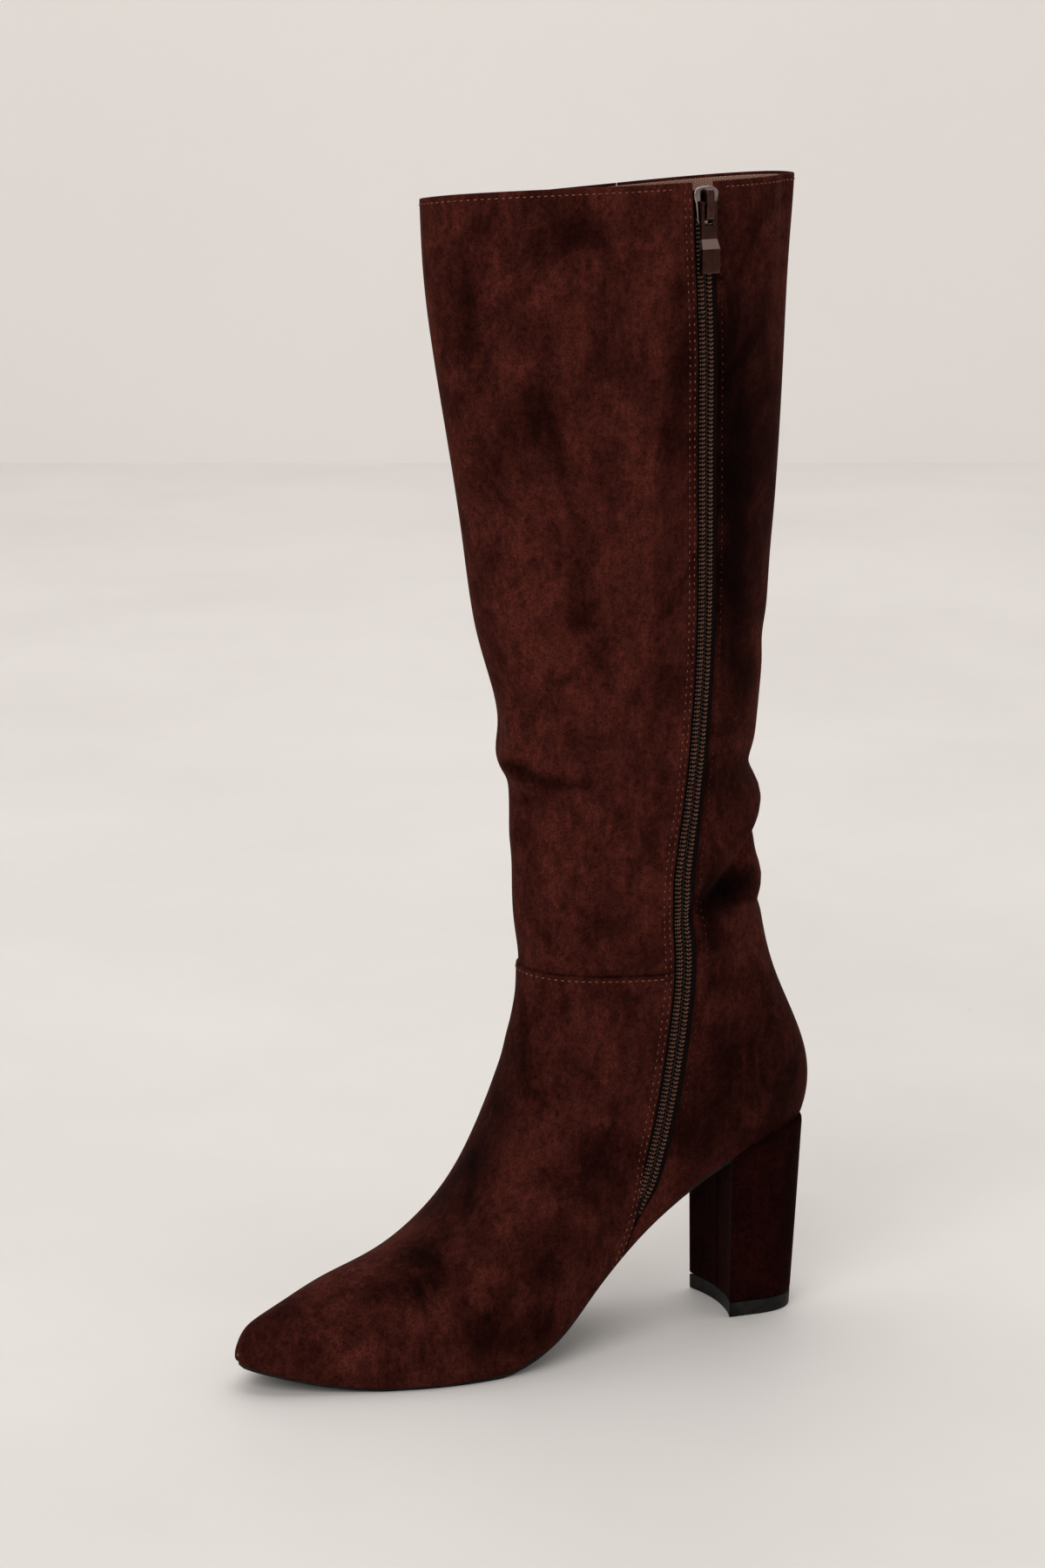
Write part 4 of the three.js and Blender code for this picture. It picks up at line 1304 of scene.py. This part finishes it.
def cut_out(mesh, points, faces):
    """The mesh less a second closed mesh."""
    tool_mesh = bpy.data.meshes.new("cutter")
    tool_mesh.from_pydata([tuple(p) for p in points], [], faces)
    work = bmesh.new()
    work.from_mesh(tool_mesh)
    bmesh.ops.recalc_face_normals(work, faces=work.faces)
    work.to_mesh(tool_mesh)
    work.free()
    body = link(bpy.data.objects.new("cut_body", mesh))
    tool = link(bpy.data.objects.new("cut_tool", tool_mesh))
    modifier = body.modifiers.new("Cut", "BOOLEAN")
    modifier.operation = "DIFFERENCE"
    modifier.solver = "EXACT"
    modifier.object = tool
    bpy.context.view_layer.update()
    graph = bpy.context.evaluated_depsgraph_get()
    result = bpy.data.meshes.new_from_object(body.evaluated_get(graph))
    drop(body)
    drop(tool)
    return result


def arc(cx, cy, radius, start, stop, count):
    return [(cx + radius * math.cos(a), cy + radius * math.sin(a))
            for a in np.radians(np.linspace(start, stop, count))]


def build_slider(metal, bridge_metal):
    """Plate and flanges are drawn from the front as (across, up), the bridge from its side as (up, out)."""
    right = [(2.6, -7.0), (3.5, -6.6), (3.95, -5.6), (4.15, -3.0), (4.6, 0.6), (5.4, 2.8), (5.6, 4.6),
             (4.9, 6.0), (3.0, 6.8), (1.2, 7.0)]
    outline = [(x + ASIDE, y) for x, y in right] + [(ASIDE - x, y) for x, y in right[::-1]]
    points, faces = prism(outline, 0.0, PLATE, "face")
    pieces = [metal_piece("slider_plate", points, faces, metal, 0.38, 3)]
    rim_outline = [(3.55, -4.2), (4.15, -4.2), (4.3, 0.0), (4.25, 3.2), (3.6, 3.2)]
    for side, name in ((1, "slider_flange_rear"), (-1, "slider_flange_front")):
        points, faces = prism([(side * x, y) for x, y in rim_outline], -1.75, 0.4, "face")
        pieces.append(metal_piece(name, points, faces, metal, 0.12))
    outer = [(-5.6, 0.9), (-5.5, 2.2)] + arc(-3.9, 2.5, 1.55, 178, 92, 6) + [(0.4, 4.12)]
    outer += arc(4.4, 2.3, 1.75, 88, 4, 7) + [(6.35, 0.9)]
    inner = [(5.2, 0.9), (5.1, 2.2), (4.5, 2.95), (0.4, 3.05), (-3.8, 2.95), (-4.4, 2.3), (-4.5, 0.9)]
    points, faces = prism(outer + inner, ASIDE - BRIDGE_HALF, ASIDE + BRIDGE_HALF, "side")
    pieces.append(metal_piece("slider_bridge", points, faces, bridge_metal, 0.34, 3))
    for piece in pieces:
        ride(piece, "slider_metal", "zip_slider")


def build_pull(metal):
    """Drawn from its side as (up, out) about the hinge line, then widened below its step."""
    top = [(-x, y) for x, y in arc(0.0, 0.0, PULL_ROUND, 90, 270, 9)]
    back = [(-13.0, -PULL_ROUND), (-16.0, 0.1), (-25.6, 0.1)]
    front = [(-26.0, 0.5), (-26.0, 1.7), (-25.5, 2.1), (STEP_UP[0], 2.1), (STEP_UP[1], 0.72)]
    points, faces = prism(top + back + front, -1.0, 1.0, "side")
    points[:, 0] = points[:, 0] * np.interp(points[:, 1], STEP_UP, PULL_HALVES) + ASIDE
    window = [(ASIDE + x, y) for x, y in ((-2.05, -8.4), (2.05, -8.4), (2.05, -0.62), (-2.05, -0.62))]
    cutter = prism(window, -3.0, 3.0, "face")
    pull = metal_piece("pull_tab", points, faces, metal, 0.2, 2, PIN_UP, PIN_OUT, cutter)
    ride(pull, "pull_metal", "zip_pull", body="pull")


STOP_RISE = 3.0            # above the zip's end
STOP_DEPTH = 2.0           # below the suede's face
STOP_HALVES = (2.6, 1.4, 0.6)


def build_stop(metal):
    t = t_on_zip(ZIP_END_Z + STOP_RISE)
    turn = float(side_line_turn(np.array(t), 0.0, 1))
    points, out, along = directions(np.array([t - 0.01, t, t + 0.01]), np.full(3, turn), -STOP_DEPTH)
    at, out, along = points[1], out[1], along[1]
    across = np.cross(out, along)
    outline = [(x * STOP_HALVES[0], y * STOP_HALVES[1]) for x, y in ((-1, -1), (1, -1), (1, 1), (-1, 1))]
    local, faces = prism(outline, -STOP_HALVES[2], STOP_HALVES[2], "face")
    mesh_points = at + (local[:, :1] * across + local[:, 1:2] * along + local[:, 2:] * out) * MM
    stop = mesh_object("bottom_stop", mesh_points, faces, metal, merge=0)
    ride(stop, "slider_metal", "zip_bottom_stop")


# ---- materials ---------------------------------------------------------------------------------
class Graph:
    """Short hand for building node trees."""

    def __init__(self, tree):
        self.tree = tree

    def add(self, kind, inputs=None, **settings):
        node = self.tree.nodes.new(kind)
        for key, value in settings.items():
            setattr(node, key, value)
        for key, value in (inputs or {}).items():
            if isinstance(value, bpy.types.NodeSocket):
                self.tree.links.new(value, node.inputs[key])
            else:
                node.inputs[key].default_value = value
        return node

    def noise(self, vector, scale, detail=3.0, rough=0.55, distortion=0.0):
        node = self.add("ShaderNodeTexNoise", {"Vector": vector, "Scale": scale, "Detail": detail,
                                               "Roughness": rough, "Distortion": distortion})
        return node.outputs[0]

    def stretch(self, vector, scale, turn=(0, 0, 0)):
        node = self.add("ShaderNodeMapping", {"Vector": vector, "Scale": scale, "Rotation": turn})
        return node.outputs[0]

    def math(self, operation, a, b=0.0, clamp=False):
        node = self.add("ShaderNodeMath", {0: a, 1: b}, operation=operation, use_clamp=clamp)
        return node.outputs[0]

    def band(self, value, low, high, out_low=0.0, out_high=1.0):
        node = self.add("ShaderNodeMapRange", {"Value": value, "From Min": low, "From Max": high,
                                               "To Min": out_low, "To Max": out_high}, clamp=True,
                        interpolation_type="SMOOTHSTEP")
        return node.outputs[0]

    def mix(self, factor, a, b, blend="MIX"):
        node = self.add("ShaderNodeMix", data_type="RGBA", blend_type=blend)
        colours = [s for s in node.inputs if s.type == "RGBA"]
        factors = [s for s in node.inputs if s.type == "VALUE" and s.enabled]
        for socket, value in ((factors[0], factor), (colours[0], a), (colours[1], b)):
            if isinstance(value, bpy.types.NodeSocket):
                self.tree.links.new(value, socket)
            else:
                socket.default_value = value
        return [s for s in node.outputs if s.type == "RGBA"][0]

    def bump(self, height, strength, distance, normal=None):
        inputs = {"Height": height, "Strength": strength, "Distance": distance}
        if normal is not None:
            inputs["Normal"] = normal
        return self.add("ShaderNodeBump", inputs).outputs[0]


def new_material(name, settings):
    """A Principled material with its constants in settings."""
    material = bpy.data.materials.new(name)
    material.use_nodes = True
    shader = material.node_tree.nodes["Principled BSDF"]
    for key, value in settings.items():
        shader.inputs[key].default_value = value
    return material, shader


LIGHTEST_NAP_AND_HIGHLIGHT = 0.34        # cap on how light the nap and the painted highlights make the suede, on a natural log scale


def nap_and_shade_group():
    """Nap and painted shade: how light the suede is by its strokes and its painted shade and highlights (1
    is plain, at most 1.4), a fine grain and a normal.
    """
    tree = bpy.data.node_groups.new("Nap and painted shade", "ShaderNodeTree")
    for name, kind in (("Stroke and shade", "Float"), ("Grain", "Float"), ("Normal", "Vector")):
        tree.interface.new_socket(name, in_out="OUTPUT", socket_type="NodeSocket" + kind)
    g = Graph(tree)
    place = g.add("ShaderNodeTexCoord").outputs["Object"]
    tall = g.stretch(place, (1.0, 1.0, 0.75), (0.0, 0.2, 0.0))
    squat = g.stretch(place, (1.0, 1.0, 0.8))
    long = g.stretch(place, (1.0, 1.0, 0.3), (0.0, 0.12, 0.0))
    patch = g.noise(tall, scale=34.0, detail=12.0, rough=0.62, distortion=0.9)
    cloud = g.noise(squat, scale=130.0, detail=6.0, rough=0.7, distortion=0.5)
    streak = g.noise(long, scale=240.0, detail=3.0, rough=0.6, distortion=0.2)
    grain = g.noise(place, scale=1300.0, detail=3.0, rough=0.7)
    weave = g.noise(squat, scale=520.0, detail=3.0, rough=0.65)
    painted_shade_and_nap = g.add("ShaderNodeAttribute", attribute_name="nap_and_shade").outputs["Fac"]
    wispy = g.math("MULTIPLY", painted_shade_and_nap, g.band(patch, 0.34, 0.66, 1.4, 0.6))
    patchy, cloudy = g.band(patch, 0.36, 0.58, -0.42, 0.14), g.band(cloud, 0.3, 0.64, -0.34, 0.18)
    random = g.math("ADD", g.math("ADD", patchy, cloudy), g.band(streak, 0.3, 0.7, -0.2, 0.2))
    # the nap's random lay added to the painted shade and highlights, then capped
    lay_and_shade = g.math("MINIMUM", g.math("ADD", wispy, random), LIGHTEST_NAP_AND_HIGHLIGHT)
    stroke_and_shade = g.math("POWER", math.e, lay_and_shade)
    fine = g.math("ADD", g.math("MULTIPLY", grain, 0.6), g.math("MULTIPLY", weave, 0.4))
    soft = g.bump(g.math("ADD", cloud, g.math("MULTIPLY", streak, 0.4)), 0.35, 0.0012)
    normal = g.bump(fine, 0.55, 0.00022, soft)
    result = g.add("NodeGroupOutput")
    for name, value in (("Stroke and shade", stroke_and_shade), ("Grain", fine), ("Normal", normal)):
        tree.links.new(value, result.inputs[name])
    return tree


def suede_material(name, group, dark, light, sheen):
    material, shader = new_material(name, {
        "Roughness": 0.95, "IOR": 1.4, "Specular IOR Level": 0.03,
        "Sheen Weight": sheen, "Sheen Roughness": 0.42, "Sheen Tint": (0.62, 0.25, 0.18, 1.0)})
    g = Graph(material.node_tree)
    nap_and_shade = g.add("ShaderNodeGroup", node_tree=group)
    stroke_and_shade, grain = nap_and_shade.outputs["Stroke and shade"], nap_and_shade.outputs["Grain"]
    # the suede's colour from dark to light by its nap and by its painted shade and highlights
    colour = g.mix(g.math("DIVIDE", stroke_and_shade, 2.0, True), dark, light)
    shade = g.band(grain, 0.3, 0.7, 0.42, 1.62)
    grey = g.add("ShaderNodeCombineColor", {0: shade, 1: shade, 2: shade}).outputs[0]
    tinted = g.mix(1.0, colour, grey, "MULTIPLY")
    links = material.node_tree.links
    links.new(tinted, shader.inputs["Base Color"])
    links.new(nap_and_shade.outputs["Normal"], shader.inputs["Normal"])
    return material


RIB_SCALE = 0.3183         # a wave texture of this scale has a rib every metre


def cloth_material(name, dark, light, pitch, sheen=0.2, depth=0.00018):
    """Plain woven cloth: crossed ribs along the piece's own directions."""
    material, shader = new_material(name, {
        "Roughness": 0.95, "Specular IOR Level": 0.06, "Sheen Weight": sheen, "Sheen Roughness": 0.5})
    g = Graph(material.node_tree)
    uv = g.add("ShaderNodeTexCoord").outputs["UV"]
    waves = []
    for direction in ("X", "Y"):
        wave = g.add("ShaderNodeTexWave", {"Vector": uv, "Scale": RIB_SCALE / pitch, "Distortion": 1.2,
                                           "Detail": 2.0, "Detail Scale": 2.0}, bands_direction=direction)
        waves.append(wave.outputs[1])
    mesh = g.math("MULTIPLY", waves[0], waves[1])
    place = g.add("ShaderNodeTexCoord").outputs["Object"]
    cloud = g.noise(place, 60.0, 4.0, 0.6)
    tone = g.math("ADD", g.math("MULTIPLY", mesh, 0.6), g.math("MULTIPLY", cloud, 0.5))
    colour = g.mix(g.band(tone, 0.15, 0.8), dark, light)
    links = material.node_tree.links
    links.new(colour, shader.inputs["Base Color"])
    links.new(g.bump(mesh, 0.6, depth), shader.inputs["Normal"])
    return material


def speckled_material(name, dark, light, settings, scale=300.0, depth=0.0001, strength=0.3, rough=None):
    """A hard surface with faint clouding, fine texture and, where rough is given, a varying gloss."""
    material, shader = new_material(name, settings)
    g = Graph(material.node_tree)
    place = g.add("ShaderNodeTexCoord").outputs["Object"]
    cloud = g.noise(place, scale, 4.0, 0.6)
    fine = g.noise(place, scale * 6, 3.0, 0.6)
    links = material.node_tree.links
    links.new(g.mix(g.band(cloud, 0.35, 0.65), dark, light), shader.inputs["Base Color"])
    if rough:
        links.new(g.band(fine, 0.3, 0.7, *rough), shader.inputs["Roughness"])
    links.new(g.bump(fine, strength, depth), shader.inputs["Normal"])
    return material


def pull_material(name, dark, light, slope):
    """Dark metal, with a painted highlight on the step between the pull's thin and thick parts."""
    material, shader = new_material(name, {"Metallic": 0.95})
    g = Graph(material.node_tree)
    place = g.add("ShaderNodeTexCoord").outputs["Object"]
    height = g.add("ShaderNodeSeparateXYZ", {0: place}).outputs[2]
    low, high = ((SLIDER_AT[2] + PIN_UP + up) * MM for up in STEP_UP)
    soft = 0.15 * MM
    over_low = g.band(height, low - soft, low + soft)
    under_high = g.band(height, high - soft, high + soft, 1.0, 0.0)
    # the band over the step, where the painted highlight goes
    step = g.math("MULTIPLY", over_low, under_high)
    fine = g.noise(place, 1500.0, 3.0, 0.6)
    colour = g.mix(g.band(g.noise(place, 260.0, 4.0, 0.6), 0.35, 0.65), dark, light)
    links = material.node_tree.links
    links.new(g.mix(step, colour, slope), shader.inputs["Base Color"])
    links.new(g.band(fine, 0.3, 0.7, 0.2, 0.3), shader.inputs["Roughness"])
    links.new(g.bump(fine, 0.06, 0.00003), shader.inputs["Normal"])
    return material


def stage_material(name, dark, light, scale, scuffs=None):
    material, shader = new_material(name, {"Roughness": 0.55, "Specular IOR Level": 0.3})
    g = Graph(material.node_tree)
    place = g.add("ShaderNodeTexCoord").outputs["Object"]
    cloud = g.noise(place, scale, 5.0, 0.6)
    colour = g.mix(g.band(cloud, 0.3, 0.7), dark, light)
    if scuffs:
        speck = g.noise(place, 90.0, 3.0, 0.7)
        colour = g.mix(g.band(speck, 0.735, 0.78, 0.0, 0.5), colour, scuffs)
    links = material.node_tree.links
    links.new(colour, shader.inputs["Base Color"])
    links.new(g.bump(g.noise(place, scale * 8, 4.0, 0.6), 0.08, 0.002), shader.inputs["Normal"])
    return material


NAP_AND_SHADE = nap_and_shade_group()
# the darkest tone, reached in the deepest painted shade behind the zip
DARKEST_SHADE_AND_NAP = (0.0012, 0.0001, 0.0001, 1)
SUEDE_SKIN = suede_material("Suede", NAP_AND_SHADE, DARKEST_SHADE_AND_NAP, (0.086, 0.0182, 0.0128, 1), sheen=0.05)
# the heel's cover: the same suede painted about five times darker, as painted shade
HEEL_SUEDE_IN_SHADE = suede_material("Heel suede in painted shade", NAP_AND_SHADE, DARKEST_SHADE_AND_NAP, (0.017, 0.0030, 0.0023, 1), sheen=0.015)
LINING = cloth_material("Lining cloth", (0.16, 0.085, 0.062, 1), (0.34, 0.20, 0.15, 1), pitch=0.0011)
INSOLE = cloth_material("Sock cloth", (0.12, 0.065, 0.048, 1), (0.24, 0.14, 0.105, 1), pitch=0.0009)
TAPE = cloth_material("Zip tape", (0.003, 0.0012, 0.0010, 1), (0.010, 0.0036, 0.0028, 1),
                      pitch=0.0006, sheen=0.02, depth=0.0001)
THREAD_LOOK = {"scale": 900.0, "depth": 0.00006, "strength": 0.5}
THREAD_DYE = speckled_material("Thread", (0.110, 0.038, 0.024, 1), (0.230, 0.092, 0.062, 1),
                               {"Roughness": 0.8, "Specular IOR Level": 0.12}, **THREAD_LOOK)
# a darker copy of the thread for the rows behind the zip: painted shade
THREAD_IN_SHADE = speckled_material("Thread in shade", (0.036, 0.010, 0.006, 1), (0.075, 0.024, 0.015, 1),
                            {"Roughness": 0.8, "Specular IOR Level": 0.08}, **THREAD_LOOK)
CHAIN_DYE = speckled_material("Zip thread", (0.080, 0.034, 0.021, 1), (0.185, 0.086, 0.056, 1),
                              {"Roughness": 0.8, "Specular IOR Level": 0.05}, **THREAD_LOOK)
NYLON_LOOK = {"scale": 500.0, "depth": 0.00003, "strength": 0.2}
NYLON = speckled_material("Coil nylon", (0.005, 0.0018, 0.0013, 1), (0.017, 0.0068, 0.0050, 1),
                          {"Roughness": 0.34, "Specular IOR Level": 0.14}, **NYLON_LOOK)
# much lighter than the nylon: painted glints on the coil's turns and tips
COIL_GLINTS = speckled_material("Coil turns with painted glints", (0.080, 0.048, 0.036, 1), (0.155, 0.10, 0.078, 1),
                              {"Roughness": 0.25}, **NYLON_LOOK)
RUBBER = speckled_material("Sole rubber", (0.006, 0.005, 0.0048, 1), (0.013, 0.011, 0.0105, 1),
                           {"Specular IOR Level": 0.1}, scale=220.0, depth=0.00012, strength=0.4,
                           rough=(0.5, 0.7))
METAL_LOOK = {"scale": 260.0, "depth": 0.00003, "strength": 0.05}
GUNMETAL = speckled_material("Gunmetal", (0.22, 0.175, 0.155, 1), (0.32, 0.265, 0.24, 1),
                             {"Metallic": 1.0}, rough=(0.08, 0.16), **METAL_LOOK)
DARK_GUNMETAL = speckled_material("Dark gunmetal", (0.060, 0.026, 0.021, 1), (0.090, 0.040, 0.033, 1),
                                  {"Metallic": 1.0}, rough=(0.1, 0.18), **METAL_LOOK)
# slope is the colour of the painted highlight on the pull's step
PULL_METAL = pull_material("Pull metal", (0.045, 0.0175, 0.0125, 1), (0.062, 0.025, 0.0185, 1),
                           slope=(0.30, 0.20, 0.18, 1))
FLOOR = stage_material("Painted floor", (0.70, 0.672, 0.652, 1), (0.745, 0.717, 0.695, 1),
                       scale=3.0, scuffs=(0.30, 0.26, 0.24, 1))
WALL_PAINT = stage_material("Painted wall", (0.845, 0.815, 0.790, 1), (0.865, 0.835, 0.810, 1), scale=1.2)


# ---- build -------------------------------------------------------------------------------------
build_front(SUEDE_SKIN)
build_back(SUEDE_SKIN)
build_lining(LINING)
sock = build_plate("insole_sock", rise=5.8, thickness=2.3, inset=2.1, rounding=0.8, s_end=-100.0,
                   material=INSOLE)
ride(sock, "insole_board", "insole")
sole = build_plate("sole", rise=3.0, thickness=3.0, inset=1.3, rounding=0.9, s_end=34.8,
                   material=RUBBER)
ride(sole, "sole_rubber", "outsole")
build_heel(HEEL_SUEDE_IN_SHADE, RUBBER)
build_tapes(TAPE)
build_coil(NYLON, CHAIN_DYE, COIL_GLINTS)
build_slider(GUNMETAL, DARK_GUNMETAL)
build_pull(PULL_METAL)
build_stop(GUNMETAL)
build_stitches(THREAD_DYE, THREAD_IN_SHADE)


# ---- floor, wall and light ---------------------------------------------------------------------
CAMERA_AT = Vector((-0.6887, -1.3804, 0.562))
AIM = Vector((0.0, 0.0, 0.222))
LENS = 95.0
VIEW = (AIM - CAMERA_AT).normalized()
AHEAD = Vector((VIEW.x, VIEW.y, 0)).normalized()
WALL_DISTANCE = 2.46


def sheet(name, corners, material):
    mesh = bpy.data.meshes.new(name)
    mesh.from_pydata([tuple(c) for c in corners], [], [tuple(range(len(corners)))])
    mesh.materials.append(material)
    obj = link(bpy.data.objects.new(name, mesh))
    return obj


FAR = AHEAD * WALL_DISTANCE
ASIDE_ROOM = Vector((AHEAD.y, -AHEAD.x, 0)) * 5
FAR_LEFT, FAR_RIGHT = FAR - ASIDE_ROOM, FAR + ASIDE_ROOM
NEARER = -AHEAD * 7
UP = Vector((0, 0, 4))
sheet("floor", [FAR_LEFT, FAR_LEFT + NEARER, FAR_RIGHT + NEARER, FAR_RIGHT], FLOOR)
sheet("wall", [FAR_LEFT, FAR_RIGHT, FAR_RIGHT + UP, FAR_LEFT + UP], WALL_PAINT)


def area_light(name, at, target, size, energy, colour):
    light = bpy.data.lights.new(name, "AREA")
    light.shape = "RECTANGLE"
    light.size, light.size_y = size
    light.energy = energy
    light.color = colour
    obj = link(bpy.data.objects.new(name, light))
    obj.location = at
    obj.rotation_euler = (Vector(target) - Vector(at)).to_track_quat("-Z", "Y").to_euler()


area_light("window", at=(-1.95, -1.85, 1.95), target=(0, 0, 0.25), size=(2.2, 2.2), energy=52.0,
           colour=(1.0, 0.985, 0.965))
area_light("ceiling", at=(0.6, 1.2, 3.0), target=(0.4, 1.0, 0.0), size=(3.5, 3.5), energy=60.0,
           colour=(1.0, 0.985, 0.97))

world = bpy.data.worlds.new("Room")
bpy.context.scene.world = world
world.use_nodes = True
background = world.node_tree.nodes["Background"]
background.inputs["Color"].default_value = (0.92, 0.90, 0.88, 1)
background.inputs["Strength"].default_value = 0.5

lens = bpy.data.cameras.new("camera")
lens.lens = LENS
lens.sensor_width = 36.0
lens.clip_start = 0.05
camera = link(bpy.data.objects.new("camera", lens))
camera.location = CAMERA_AT
camera.rotation_euler = VIEW.to_track_quat("-Z", "Y").to_euler()
bpy.context.scene.camera = camera
bpy.context.scene.view_settings.view_transform = "Standard"
